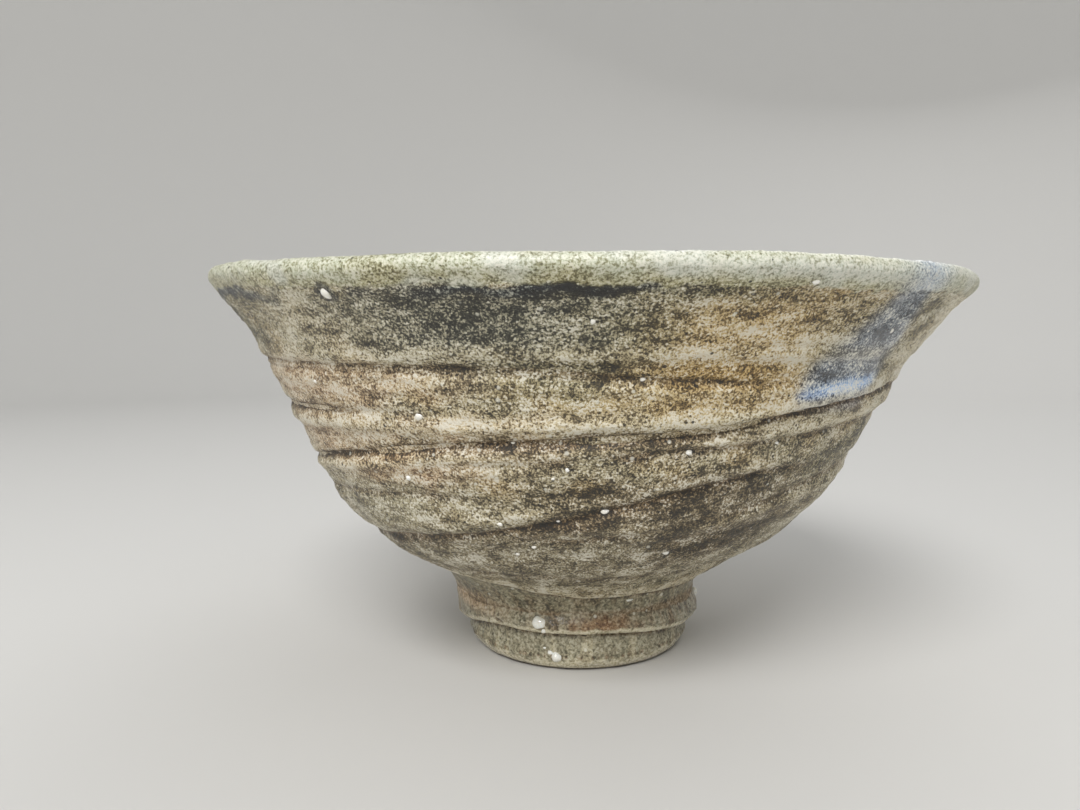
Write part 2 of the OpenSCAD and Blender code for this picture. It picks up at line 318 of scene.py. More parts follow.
@dataclass
class Form:
    """The bowl's smooth form: its profile, its lean and its relief.

    Attributes:
        rim_r: Radius over the lip.
        top_z: Height of the lip.
        outside: Radius and height in millimetres of places up the outside, ledge first.
        lip_r: Radius of the rounded lip, in millimetres.
        inside: Radius and height in millimetres of places down the inside, well last.
        lean: Height and sideways shift of the wheel's axis, in millimetres.
    """

    rim_r: float
    top_z: float
    outside: tuple[tuple[float, float], ...] = (
        (26.1, 15.0), (27.6, 16.6), (33.0, 19.9), (39.2, 23.6), (44.8, 28.3), (49.4, 33.4),
        (52.5, 38.5), (54.9, 43.2), (57.1, 47.6), (59.3, 51.9), (61.3, 55.6), (62.7, 58.6),
        (64.1, 61.5), (67.0, 65.1), (70.2, 69.0))
    lip_r: float = 1.4
    inside: tuple[tuple[float, float], ...] = (
        (68.0, 71.4), (64.4, 67.6), (60.8, 63.0), (57.6, 57.4), (54.4, 50.9), (51.2, 44.4),
        (47.4, 38.4), (42.6, 32.8), (36.4, 27.8), (29.0, 24.1), (21.0, 21.9), (12.0, 20.7),
        (5.0, 20.3), (0.0, 20.2))
    lean: tuple[tuple[float, float], ...] = (
        (0, -0.5), (12, -0.9), (26, -1.5), (38, -0.6), (58, 0.1), (75, 0.8))
    table: dict[str, np.ndarray] = field(default_factory=dict, init=False)
    marks: dict[str, float] = field(default_factory=dict, init=False)

    def __post_init__(self) -> None:
        """Works out the profile by its length, with a smoothed normal at each point."""
        drop = math.radians(41.0)
        middle = np.array([self.rim_r - self.lip_r, self.top_z - self.lip_r])
        turn = np.linspace(-drop, math.pi - drop, 40)
        lip = middle + self.lip_r * np.stack([np.cos(turn), np.sin(turn)], 1)
        up = flowing_line(np.vstack([self.outside, lip[0]]), 24)
        down = flowing_line(np.vstack([lip[-1], self.inside]), 24)
        line = np.vstack([up[:-1], lip, down[1:]])
        length = np.concatenate([[0.0], np.cumsum(np.hypot(*np.diff(line, axis=0).T))])
        even = np.linspace(0.0, length[-1], 3000)
        r, z = np.interp(even, length, line[:, 0]), np.interp(even, length, line[:, 1])
        way = np.stack([np.gradient(r), np.gradient(z)], 1)
        window = np.hanning(25) / np.hanning(25).sum()
        padded = np.pad(way, ((12, 12), (0, 0)), mode="edge")
        way = np.stack([np.convolve(padded[:, i], window, "valid") for i in (0, 1)], 1)
        way /= np.linalg.norm(way, axis=1)[:, None]
        way[-1] = (-1.0, 0.0)
        self.table = {"t": even, "r": r, "z": z, "nr": way[:, 1], "nz": -way[:, 0]}
        self.marks = {"ledge": 0.0, "flare": float(length[len(up) - 1]),
                      "top": float(even[np.argmax(z)]), "well": float(length[-1])}

    def outside_at(self, height: np.ndarray) -> np.ndarray:
        """Returns how far along the profile, in millimetres, a height outside lies."""
        rising = self.table["t"] <= self.marks["top"]
        return np.interp(height, self.table["z"][rising], self.table["t"][rising])

    def inside_at(self, height: np.ndarray) -> np.ndarray:
        """Returns how far along the profile, in millimetres, a height inside lies."""
        falling = self.table["t"] >= self.marks["top"]
        z, t = self.table["z"][falling][::-1], self.table["t"][falling][::-1]
        return np.interp(height, z, t)

    def height_of(self, t: np.ndarray) -> np.ndarray:
        """Returns the height in millimetres at places along the profile."""
        return np.interp(t, self.table["t"], self.table["z"])

    def lip_share(self, t: np.ndarray) -> np.ndarray:
        """Returns 1 where the lip's thick glaze lies and 0 well away from it."""
        return soft_step(9.0, 5.0, np.abs(t - self.marks["top"]))

    def relief(self, azimuth: np.ndarray, t: np.ndarray) -> np.ndarray:
        """Returns the relief square to the smooth form, in millimetres.

        Outside it is the finger strokes, a spiral swell whose phase turns once a round, and a
        slow unevenness. Inside only the swell and the unevenness remain.

        Args:
            azimuth: Degrees from the front.
            t: Millimetres along the profile.

        Returns:
            Relief, positive outwards from the wall.
        """
        z = np.interp(t, self.table["t"], self.table["z"])
        outside = soft_step(self.marks["flare"] + 2.0, self.marks["flare"] - 2.0, t)
        inside = soft_step(self.marks["top"] + 3.0, self.marks["top"] + 12.0, t)
        middle = soft_step(self.marks["well"], self.marks["well"] - 24.0, t)
        strokes = stroke_relief(azimuth, z)
        swell = np.cos(2 * math.pi * (z - 53.0) / 9.4 - np.radians(azimuth))
        fine = np.cos(2 * math.pi * z / 2.35 - 2 * np.radians(azimuth)) * Mist(30, 5).at(azimuth, z)
        slow = Mist(34, 3, 20).at(azimuth, z)
        ribs = np.cos(2 * math.pi * t / 7.6 + np.radians(azimuth))
        return (outside * (strokes + 0.16 * swell + 0.05 * fine + 0.14 * slow)
                + inside * middle * (0.16 * ribs + 0.10 * slow))

    def rim_wave(self, azimuth: np.ndarray) -> np.ndarray:
        """Returns how far the lip rises and dips round the bowl, in millimetres."""
        a = np.radians(azimuth)
        return around(RIM_RISE, azimuth) + 0.06 * np.cos(7 * a) + 0.04 * np.cos(11 * a + 2.0)

    def points(self, azimuth: np.ndarray, t: np.ndarray, depth: np.ndarray | float = 0.0,
               relief: float = 1.0, extra: np.ndarray | float = 0.0) -> np.ndarray:
        """Returns points of the bowl's skin, or of a surface under it.

        A point is the profile's at t, moved along its normal by the relief less the depth,
        turned to its azimuth, and shifted sideways with the wheel's lean.

        Args:
            azimuth: Degrees from the front.
            t: Millimetres along the profile.
            depth: How far under the skin, in millimetres.
            relief: Share of the relief that the surface takes.
            extra: Further relief, in millimetres.

        Returns:
            Points in metres, in the last axis.
        """
        azimuth, t = np.broadcast_arrays(azimuth, t)
        r, z, nr, nz = (np.interp(t, self.table["t"], self.table[key]) for key in ("r", "z", "nr", "nz"))
        out = extra - depth
        if relief:
            out = out + relief * self.relief(azimuth, t)
        r, z = np.maximum(r + out * nr, 0.0), z + out * nz
        high = soft_step(56.0, 75.0, z)
        z = z + high * self.rim_wave(azimuth)
        shift = np.interp(z, *np.array(self.lean, float).T)
        a = np.radians(azimuth)
        return np.stack([r * np.sin(a) + shift, -r * np.cos(a), z], -1) * MM


# ---------------------------------------------------------------- colours laid on the form


def tone(red: int, green: int, blue: int) -> np.ndarray:
    """Returns a screen colour, 0 to 255 a channel, as linear light.

    Args:
        red: Red channel.
        green: Green channel.
        blue: Blue channel.

    Returns:
        The three linear channels.
    """
    c = np.array([red, green, blue]) / 255.0
    return np.where(c <= 0.04045, c / 12.92, ((c + 0.055) / 1.055) ** 2.4)


@dataclass(frozen=True)
class Shade:
    """A glaze's look at one place: two tones that mingle as grains, and how they mingle.

    Attributes:
        pale: The light grains' colour.
        deep: The dark grains' colour.
        dark_share: Share of dark grains, 0 to 1.
        rough: Roughness of the surface.
        flecks: How many white flecks lie in it, 0 to 1.
        pits: How many black pinholes, 0 to 1.
    """

    pale: tuple[int, int, int]
    deep: tuple[int, int, int]
    dark_share: float
    rough: float
    flecks: float = 0.3
    pits: float = 0.2

    def row(self) -> np.ndarray:
        """Returns the shade as one row of ten numbers."""
        return np.concatenate([tone(*self.pale), tone(*self.deep),
                               [self.dark_share, self.rough, self.flecks, self.pits]])


class Glaze(Enum):
    """The shades that fire and ash left on the bowl; some of them also carry painted shade."""

    SAND = Shade((182, 171, 138), (92, 84, 64), 0.42, 0.50)
    CREAM = Shade((206, 194, 160), (120, 108, 82), 0.28, 0.46)
    PINK = Shade((208, 182, 147), (126, 100, 74), 0.32, 0.52)
    OCHRE = Shade((203, 178, 126), (114, 93, 57), 0.38, 0.44)
    AMBER = Shade((200, 169, 107), (120, 94, 50), 0.38, 0.40)
    OLIVE = Shade((150, 142, 106), (66, 62, 44), 0.55, 0.46)
    CHARCOAL = Shade((138, 142, 134), (38, 42, 48), 0.74, 0.36, 0.4)
    GREY = Shade((168, 164, 142), (66, 66, 58), 0.58, 0.46, 0.6)
    # Umber glaze; also the painted shadow under the ledge and in the foot's step groove, and the painted
    # shade in the wall's grooves
    UMBER_AND_SHADOW = Shade((140, 118, 88), (62, 49, 34), 0.60, 0.55)
    # Bark-brown glaze; on the front's lower right it is partly painted shade
    BARK_AND_SHADE = Shade((130, 113, 84), (58, 49, 35), 0.62, 0.60)
    ASH_GREEN = Shade((172, 164, 134), (112, 104, 82), 0.36, 0.42)
    # Duller brown of the lower belly: partly its glaze, partly painted shade
    BELLY_AND_SHADE = Shade((158, 148, 120), (98, 88, 68), 0.44, 0.50)
    SLATE = Shade((150, 158, 166), (70, 80, 92), 0.55, 0.26, 0.2, 0.9)
    SKY = Shade((174, 203, 240), (124, 156, 204), 0.28, 0.16, 0.1, 0.2)
    DUSK = Shade((140, 134, 134), (84, 78, 80), 0.50, 0.34)
    CELADON = Shade((193, 196, 174), (144, 143, 112), 0.36, 0.40, 0.2, 0.45)
    MILK = Shade((206, 209, 199), (168, 170, 153), 0.30, 0.36, 0.2, 0.2)
    HONEY = Shade((186, 180, 140), (110, 102, 66), 0.46, 0.38, 0.1, 1.0)
    LIP_BLUE = Shade((186, 198, 210), (132, 144, 162), 0.35, 0.14, 0.1, 0.4)
    RUST = Shade((160, 126, 86), (100, 66, 38), 0.50, 0.46)
    BEAD = Shade((216, 208, 180), (158, 148, 116), 0.24, 0.16, 0.1, 0.1)
    FOOT = Shade((166, 156, 130), (108, 99, 78), 0.42, 0.38)
    BARE = Shade((150, 132, 104), (98, 82, 60), 0.42, 0.82)
    INNER = Shade((186, 178, 146), (112, 106, 82), 0.36, 0.36)
    STONE = Shade((250, 250, 248), (222, 220, 210), 0.10, 0.24, 0.0, 0.0)
    DROP = Shade((242, 245, 242), (204, 210, 200), 0.16, 0.08, 0.0, 0.0)
    GREY_GREEN = Shade((158, 153, 128), (98, 95, 75), 0.42, 0.34)
    POOL = Shade((158, 172, 138), (106, 120, 88), 0.40, 0.10, 0.1, 0.1)


@dataclass(frozen=True)
class Cloud:
    """A patch of one shade on the wall: a soft oval that may slant.

    Attributes:
        glaze: The shade.
        azimuth: Azimuth of its middle.
        height: Height of its middle, in millimetres.
        wide: Half of its width, in degrees.
        tall: Half of its height, in millimetres.
        strength: Share of the shade at its middle.
        climb: Millimetres that it rises over 90 degrees.
        edge: 2 gives a soft edge, more a firmer one.
    """

    glaze: Glaze
    azimuth: float
    height: float
    wide: float
    tall: float
    strength: float = 1.0
    climb: float = 0.0
    edge: float = 2.0

    def at(self, azimuth: np.ndarray, height: np.ndarray) -> np.ndarray:
        """Returns the patch's share at places: exp of minus the powers of both offsets.

        Args:
            azimuth: Degrees from the front.
            height: Millimetres above the table.

        Returns:
            Shares from 0 to 1.
        """
        aside = wrapped(azimuth - self.azimuth)
        above = height - self.height - self.climb * aside / 90.0
        return self.strength * np.exp(-(np.abs(aside / self.wide) ** self.edge)
                                      - np.abs(above / self.tall) ** self.edge)


CLOUDS = (
    # the flare, left to right
    Cloud(Glaze.OLIVE, -62, 66, 12, 7, 0.6),
    Cloud(Glaze.CREAM, -38, 67, 10, 4.5, 0.75),
    Cloud(Glaze.GREY, -12, 65, 24, 5.5, 0.95, 0, 3),
    Cloud(Glaze.OLIVE, 8, 66, 10, 6, 0.7),
    Cloud(Glaze.OCHRE, 22, 64, 13, 8, 0.95, 0, 2.5),
    Cloud(Glaze.AMBER, 20, 58, 12, 3, 0.85, -2),
    Cloud(Glaze.AMBER, 31, 70.2, 4, 1.2, 0.8),
    Cloud(Glaze.CREAM, 64, 64, 13, 10, 0.95, 0, 3),
    Cloud(Glaze.OLIVE, 51.5, 66, 2.0, 5, 0.6),
    Cloud(Glaze.CHARCOAL, -5, 70.4, 18, 1.05, 1.0, 0, 4),
    Cloud(Glaze.GREY, -10, 68.4, 18, 1.4, 0.8, 0, 3),
    Cloud(Glaze.CHARCOAL, -56, 70.4, 14, 0.9, 0.95, 0, 3),
    Cloud(Glaze.OLIVE, 14, 69.6, 9, 1.2, 0.7),
    # the flank
    Cloud(Glaze.CREAM, -34, 60.6, 18, 1.0, 0.8),
    Cloud(Glaze.OLIVE, -4, 60.8, 10, 1.2, 0.5),
    Cloud(Glaze.PINK, -50, 57, 20, 4.0, 0.95, 0, 3),
    Cloud(Glaze.PINK, -26, 57, 10, 2.4, 0.7),
    Cloud(Glaze.CREAM, -15, 57.2, 7, 1.5, 0.4),
    Cloud(Glaze.OLIVE, -3, 56.6, 9, 3.0, 0.75),
    Cloud(Glaze.OCHRE, 18, 54.4, 16, 2.6, 0.9, 2),
    Cloud(Glaze.CREAM, -14, 50.6, 24, 1.5, 0.9, 4, 3),
    Cloud(Glaze.PINK, -52, 48, 16, 5.0, 0.9, 4),
    Cloud(Glaze.PINK, -22, 50.0, 18, 1.6, 0.8, 4),
    Cloud(Glaze.CREAM, 40, 51.0, 20, 2.0, 0.6, 6),
    Cloud(Glaze.UMBER_AND_SHADOW, 2, 47.6, 28, 1.9, 0.9, 5, 3),
    Cloud(Glaze.PINK, -30, 43, 16, 3.4, 0.85, 4),
    # the front's lower right is painted darker: partly dark glaze, partly painted shade
    Cloud(Glaze.BARK_AND_SHADE, 12, 38.6, 22, 4.2, 1.0, 6, 3),
    Cloud(Glaze.BARK_AND_SHADE, 30, 37.4, 16, 5.0, 1.0, 6, 3),
    Cloud(Glaze.UMBER_AND_SHADOW, 14, 35.0, 14, 2.6, 0.85, 6),
    Cloud(Glaze.OLIVE, 54, 44, 14, 5.0, 0.6, 6),
    # the belly, darker low down all round and on the front's right: partly its glaze, partly painted shade
    Cloud(Glaze.ASH_GREEN, -40, 34, 20, 5.0, 0.95, 8, 3),
    Cloud(Glaze.BELLY_AND_SHADE, 0, 28, 60, 9.0, 0.8, 8, 4),
    Cloud(Glaze.BARK_AND_SHADE, 32, 31, 18, 4.0, 0.85, 8, 3),
    Cloud(Glaze.UMBER_AND_SHADOW, -2, 34.6, 12, 1.2, 0.7, 18),
    Cloud(Glaze.UMBER_AND_SHADOW, -40, 28.0, 18, 1.2, 0.6, 10),
    Cloud(Glaze.ASH_GREEN, 52, 30, 12, 3.0, 0.5, 8),
    # round the back
    Cloud(Glaze.PINK, 96, 52, 22, 8, 0.8, 4, 3),
    Cloud(Glaze.GREY, 128, 64, 24, 6, 0.9, 0, 3),
    Cloud(Glaze.CHARCOAL, 134, 69.2, 22, 1.8, 0.9, 0, 3),
    Cloud(Glaze.OCHRE, 166, 58, 20, 9, 0.9, 4, 3),
    Cloud(Glaze.BARK_AND_SHADE, 150, 40, 26, 6, 0.8, 6, 3),
    Cloud(Glaze.CREAM, -158, 62, 18, 9, 0.8, 0, 3),
    Cloud(Glaze.OLIVE, -128, 64, 16, 7, 0.8, 0, 3),
    Cloud(Glaze.AMBER, -118, 50, 18, 5, 0.8, 4),
    Cloud(Glaze.PINK, -150, 46, 24, 6, 0.7, 4),
    # the lower belly behind, darker: partly its glaze, partly painted shade
    Cloud(Glaze.BELLY_AND_SHADE, 180, 28, 120, 8, 0.8, 0, 4),
)


@dataclass(frozen=True)
class Run:
    """The blue run of thicker glaze down the flare.

    Attributes:
        way: Height, azimuth and half width in degrees, top first.
        pool_z: Height of the bright pool near its lower end.
        end_z: Height at which the run ends.
        thick: Thickness at the pool, in millimetres.
    """

    way: tuple[tuple[float, float, float], ...] = (
        (73.5, 43.4, 4.2), (70.0, 42.6, 4.6), (63.4, 42.6, 7.2), (60.0, 41.8, 8.4),
        (56.6, 40.8, 9.6), (52.4, 41.6, 8.0))
    pool_z: float = 56.3
    end_z: float = 53.6
    thick: float = 0.55

    def spread(self, azimuth: np.ndarray, height: np.ndarray) -> np.ndarray:
        """Returns how much of the run lies at places: 1 in its middle and 0 outside it."""
        way = np.array(self.way)[::-1]
        middle = np.interp(height, way[:, 0], way[:, 1])
        half = np.interp(height, way[:, 0], way[:, 2])
        aside = np.abs(azimuth - middle) / half
        end = self.end_z + 0.10 * (azimuth - 41.0)
        ends = soft_step(end - 1.2, end + 0.8, height) * soft_step(74.6, 73.4, height)
        return soft_step(1.25, 0.55, aside) * ends

    def pool(self, azimuth: np.ndarray, height: np.ndarray) -> np.ndarray:
        """Returns how much of the bright pool lies at places."""
        level = self.pool_z + 0.12 * (azimuth - 41.0) + 0.004 * (azimuth - 41.0) ** 2
        return (np.exp(-(((height - level) / 1.05) ** 2))
                * soft_step(11.5, 6.5, np.abs(azimuth - 40.8)))


BLUE_RUN = Run()


def wall_shades(azimuth: np.ndarray, height: np.ndarray, outside: np.ndarray) -> np.ndarray:
    """Returns the shade of every place on the wall, one layer laid over the last.

    Places are first pushed about by mist, so that no patch has a drawn edge. Then sand is
    covered by each cloud, the blue run, its pool and the lip's pale glaze.

    Args:
        azimuth: Degrees from the front.
        height: Millimetres above the table.
        outside: 1 on the outside of the bowl and 0 inside.

    Returns:
        Ten numbers a place, as Shade.row gives them, in the last axis.
    """
    push, lift = Mist(9, 11).at(azimuth, height), Mist(7, 12).at(azimuth, height)
    a, h = azimuth + 1.5 * push, height + 0.55 * lift
    made = plain(Glaze.SAND, a.shape)

    def lay(glaze: Glaze, share: np.ndarray) -> None:
        """Covers the places with a share of a glaze."""
        nonlocal made
        made = blend_rows(made, glaze.value.row(), share)

    streaks = Mist(16, 13).at(azimuth, height * 2.5)
    lay(Glaze.OCHRE, soft_step(0.3, 1.8, streaks) * 0.5)
    lay(Glaze.OLIVE, soft_step(-0.3, -1.8, streaks) * 0.5)
    for cloud in CLOUDS:
        lay(cloud.glaze, cloud.at(a, h))
    blue = BLUE_RUN.spread(azimuth + 0.5 * push, height + 0.3 * lift)
    under = np.exp(-(((height - 53.4) / 1.2) ** 2)) * soft_step(12, 7, np.abs(azimuth - 41.5))
    lay(Glaze.DUSK, 0.85 * under)
    lay(Glaze.SLATE, 0.92 * blue)
    lay(Glaze.SKY, BLUE_RUN.pool(azimuth + 0.4 * push, height + 0.2 * lift))
    line = around(BAND_LINE, azimuth)
    line = line + 0.18 * Mist(2.4, 24, 60).at(azimuth, 0 * height)
    lip = soft_step(-0.15, 0.25, height - line)
    lay(Glaze.CELADON, lip)
    low = lip * soft_step(2.2, 0.5, height - line + 0.4 * push)
    lay(Glaze.HONEY, 0.85 * low)
    lay(Glaze.HONEY, 0.3 * lip * soft_step(0.5, 1.7, Mist(11, 22).at(azimuth, height)))
    lay(Glaze.MILK, lip * soft_step(0.2, 1.6, Mist(9, 23).at(azimuth, height)) * 0.7)
    lay(Glaze.MILK, 0.8 * Cloud(Glaze.MILK, 27, 72.9, 16, 1.3, 1, 0, 3).at(azimuth, height))
    lay(Glaze.LIP_BLUE, 0.85 * lip * Cloud(Glaze.SKY, 43.0, 73.0, 4.5, 9.0).at(azimuth, height))
    hem = height - around(LEDGE_LINE, azimuth)
    lay(Glaze.CREAM, 0.75 * soft_step(2.4, 0.9, hem + 0.3 * push))
    relief = stroke_relief(azimuth, height)
    # grooves painted darker and ridges paler by the relief: painted shade in the grooves, painted light on
    # the ridges
    lay(Glaze.UMBER_AND_SHADOW, (1 - lip) * np.clip(-1.8 * relief - 0.05, 0.0, 0.9))
    lay(Glaze.CREAM, (1 - lip) * np.clip(1.4 * relief - 0.08, 0.0, 0.6))
    fine = 0.10 * Mist(10, 14, 60).at(azimuth, height * 3.5) + 0.05 * Mist(4, 15, 60).at(azimuth, height * 2)
    made[..., 6] = np.clip(made[..., 6] + (1 - lip) * fine, 0.0, 1.0)
    for place, z, width in STONES:
        aside = (azimuth - place) * np.radians(1.0) * 62.0
        reach = np.hypot(aside, height - z) / width
        lay(Glaze.CHARCOAL, 0.6 * soft_step(1.15, 0.75, reach) * (1.0 if width > 1.4 else 0.25))
    inner = np.broadcast_to(inner_shades(azimuth, height), made.shape)
    return inner + (made - inner) * np.maximum(outside, lip)[..., None]


def plain(glaze: Glaze, shape: tuple[int, ...]) -> np.ndarray:
    """Returns one glaze's shade at every place of a grid."""
    return np.broadcast_to(glaze.value.row(), shape + (SHADE_WIDTH,)).copy()


def blend_rows(first: np.ndarray, second: np.ndarray, share: np.ndarray) -> np.ndarray:
    """Returns shades part way from the first to the second."""
    return first + (second - first) * share[..., None]


def layered(made: np.ndarray, layers: tuple[tuple[Glaze, np.ndarray], ...]) -> np.ndarray:
    """Returns shades with each layer's glaze laid over them by its share."""
    for glaze, share in layers:
        made = blend_rows(made, glaze.value.row(), share)
    return made


def foot_shades(azimuth: np.ndarray, height: np.ndarray) -> np.ndarray:
    """Returns the shade of places on the foot and the neck.

    Args:
        azimuth: Degrees from the front.
        height: Millimetres above the table.

    Returns:
        Ten numbers a place.
    """
    push = Mist(5, 35).at(azimuth, height * 0.8)
    above = height - around(STEP_LINE, azimuth) + 0.16 * push
    made = plain(Glaze.FOOT, azimuth.shape)
    smear = Mist(4, 36).at(azimuth, height * 0.25)
    a = azimuth + 2.0 * push
    lower = soft_step(0.3, -0.4, above)
    layers = (
        (Glaze.GREY_GREEN, soft_step(-1.0, 1.4, smear) * 0.8),
        (Glaze.UMBER_AND_SHADOW, 0.7 * soft_step(0.3, 1.7, Mist(7, 37).at(azimuth, height))),
        (Glaze.GREY_GREEN, 0.7 * lower),
        (Glaze.CREAM, 0.4 * lower * soft_step(0.4, 1.6, smear)),
        (Glaze.RUST, Cloud(Glaze.RUST, 12, 10.2, 13, 1.7, 0.85, 0, 3).at(a, height + 0.3 * push)),
        (Glaze.PINK, Cloud(Glaze.PINK, -62, 11.8, 24, 2.0, 0.9, 0, 3).at(a, height)),
        (Glaze.UMBER_AND_SHADOW, Cloud(Glaze.UMBER_AND_SHADOW, 48, 12.2, 16, 0.9, 0.9, 1.5, 3).at(a, height)),
        (Glaze.OLIVE, 0.35 * soft_step(12.2, 13.4, height)),
        # painted shadow on the neck just under the ash coat's overhanging ledge
        (Glaze.UMBER_AND_SHADOW, 0.9 * soft_step(-1.0, -0.2, height - around(LEDGE_LINE, azimuth))),
        # painted shadow in the groove under the upper step
        (Glaze.UMBER_AND_SHADOW, 0.85 * np.exp(-(((above + 0.55) / 0.45) ** 2))),
        (Glaze.BEAD, 0.95 * np.exp(-(((above - 0.5) / 0.62) ** 4))),
        (Glaze.BEAD, 0.75 * soft_step(3.0, 1.8, height + 0.4 * push)),
        (Glaze.UMBER_AND_SHADOW, 0.9 * np.exp(-(((height - 3.1) / 0.4) ** 2))
         * soft_step(0.0, 0.8, Mist(2.2, 38).at(azimuth, 0 * height))),
    )
    return layered(made, layers)


def inner_shades(azimuth: np.ndarray, height: np.ndarray) -> np.ndarray:
    """Returns the shade of places on the inside: calmer ash glaze, paler under the lip.

    Args:
        azimuth: Degrees from the front.
        height: Millimetres above the table.

    Returns:
        Ten numbers a place.
    """
    made = plain(Glaze.INNER, azimuth.shape)
    layers = (
        (Glaze.CREAM, 0.7 * soft_step(0.2, 1.6, Mist(26, 31).at(azimuth, height * 1.4))),
        (Glaze.OLIVE, 0.3 * soft_step(0.0, 1.9, Mist(22, 32).at(azimuth, height * 2.2))),
        (Glaze.OCHRE, 0.35 * soft_step(0.2, 1.9, Mist(24, 33).at(azimuth, height * 1.6))),
        (Glaze.CELADON, 0.8 * soft_step(66.0, 71.0, height + 0.8 * Mist(8, 34).at(azimuth, height))),
        (Glaze.POOL, 0.9 * soft_step(24.5, 21.0, height)),
    )
    return layered(made, layers)


# ---------------------------------------------------------------- meshes


@dataclass
class Sheet:
    """A grid of points on its way to being a mesh.

    Attributes:
        points: Rows by columns by three, in metres. Columns close on themselves.
        shades: Rows by columns by ten, as Shade.row gives them.
        closed: Whether the last row joins the first.
        poles: Whether the first and last rows are one point each.
    """

    points: np.ndarray
    shades: np.ndarray
    closed: bool = True
    poles: bool = False

    def mesh(self, name: str) -> bpy.types.Mesh:
        """Returns the grid as a mesh, with its shades as colour attributes.

        A face joins each point to its neighbours along the row and up the column. A pole is
        one vertex, joined to the row beside it by triangles.

        Args:
            name: The mesh's name.

        Returns:
            The mesh.
        """
        rows, columns = self.points.shape[:2]
        if self.poles:
            return self._capped(name, rows, columns)
        index = np.arange(rows * columns).reshape(rows, columns)
        upper = np.roll(index, -1, 0) if self.closed else index[1:]
        lower = index if self.closed else index[:-1]
        quads = np.stack([lower, np.roll(lower, -1, 1), np.roll(upper, -1, 1), upper], -1)
        return build_mesh(name, self.points.reshape(-1, 3), quads.reshape(-1, 4),
                          np.zeros((0, 3), int), self.shades.reshape(-1, SHADE_WIDTH))

    def _capped(self, name: str, rows: int, columns: int) -> bpy.types.Mesh:
        """Returns the mesh of a grid whose first and last rows are poles."""
        body = self.points[1:-1].reshape(-1, 3)
        points = np.vstack([body, self.points[0].mean(0), self.points[-1].mean(0)])
        shades = np.vstack([self.shades[1:-1].reshape(-1, SHADE_WIDTH), self.shades[0, 0],
                            self.shades[-1, 0]])
        index = np.arange((rows - 2) * columns).reshape(rows - 2, columns)
        low, high = index[:-1], index[1:]
        quads = np.stack([low, np.roll(low, -1, 1), np.roll(high, -1, 1), high], -1).reshape(-1, 4)
        first, last = len(body), len(body) + 1
        bottom = np.stack([np.full(columns, first), np.roll(index[0], -1), index[0]], -1)
        top = np.stack([index[-1], np.roll(index[-1], -1), np.full(columns, last)], -1)
        return build_mesh(name, points, quads, np.vstack([bottom, top]), shades)


def build_mesh(name: str, points: np.ndarray, quads: np.ndarray, triangles: np.ndarray,
               shades: np.ndarray) -> bpy.types.Mesh:
    """Puts points, faces and shades into a new smooth mesh.

    Args:
        name: The mesh's name.
        points: One point a row, in metres.
        quads: Four vertex numbers a row.
        triangles: Three vertex numbers a row.
        shades: Ten numbers a vertex.

    Returns:
        The mesh, with attributes "pale", "deep" and "marks".
    """
    mesh = bpy.data.meshes.new(name)
    loops = np.concatenate([quads.ravel(), triangles.ravel()]).astype(np.int32)
    sizes = np.concatenate([np.full(len(quads), 4), np.full(len(triangles), 3)])
    mesh.vertices.add(len(points))
    mesh.loops.add(len(loops))
    mesh.polygons.add(len(sizes))
    mesh.vertices.foreach_set("co", points.astype(np.float32).ravel())
    mesh.loops.foreach_set("vertex_index", loops)
    starts = np.concatenate([[0], np.cumsum(sizes)[:-1]]).astype(np.int32)
    mesh.polygons.foreach_set("loop_start", starts)
    mesh.polygons.foreach_set("use_smooth", np.ones(len(sizes), bool))
    mesh.update(calc_edges=True)
    for label, part in (("pale", shades[:, [0, 1, 2, 6]]), ("deep", shades[:, [3, 4, 5, 7]]),
                        ("marks", shades[:, [8, 9, 9, 9]])):
        colours = mesh.color_attributes.new(label, "FLOAT_COLOR", "POINT")
        colours.data.foreach_set("color", part.astype(np.float32).ravel())
    return mesh


def placed(name: str, data: bpy.types.ID) -> bpy.types.Object:
    """Returns a new object that carries the data, linked into the scene."""
    made = bpy.data.objects.new(name, data)
    bpy.context.scene.collection.objects.link(made)
    return made


# ---------------------------------------------------------------- materials

# Tints laid over the grains: warm age, white grain, soot, white fleck and black pinhole
AGED = (0.62, 0.46, 0.26, 1)
WHITE_GRAIN = (0.80, 0.77, 0.67, 1)
SOOT = (0.020, 0.019, 0.016, 1)
FLECK = (0.72, 0.70, 0.60, 1)
PINHOLE = (0.020, 0.018, 0.016, 1)
# Roughness of the clear layer on top
COAT_ROUGH = 0.12
# The most cells, as a share, that may hold a fleck or a pinhole
DOT_SHARE = 0.35


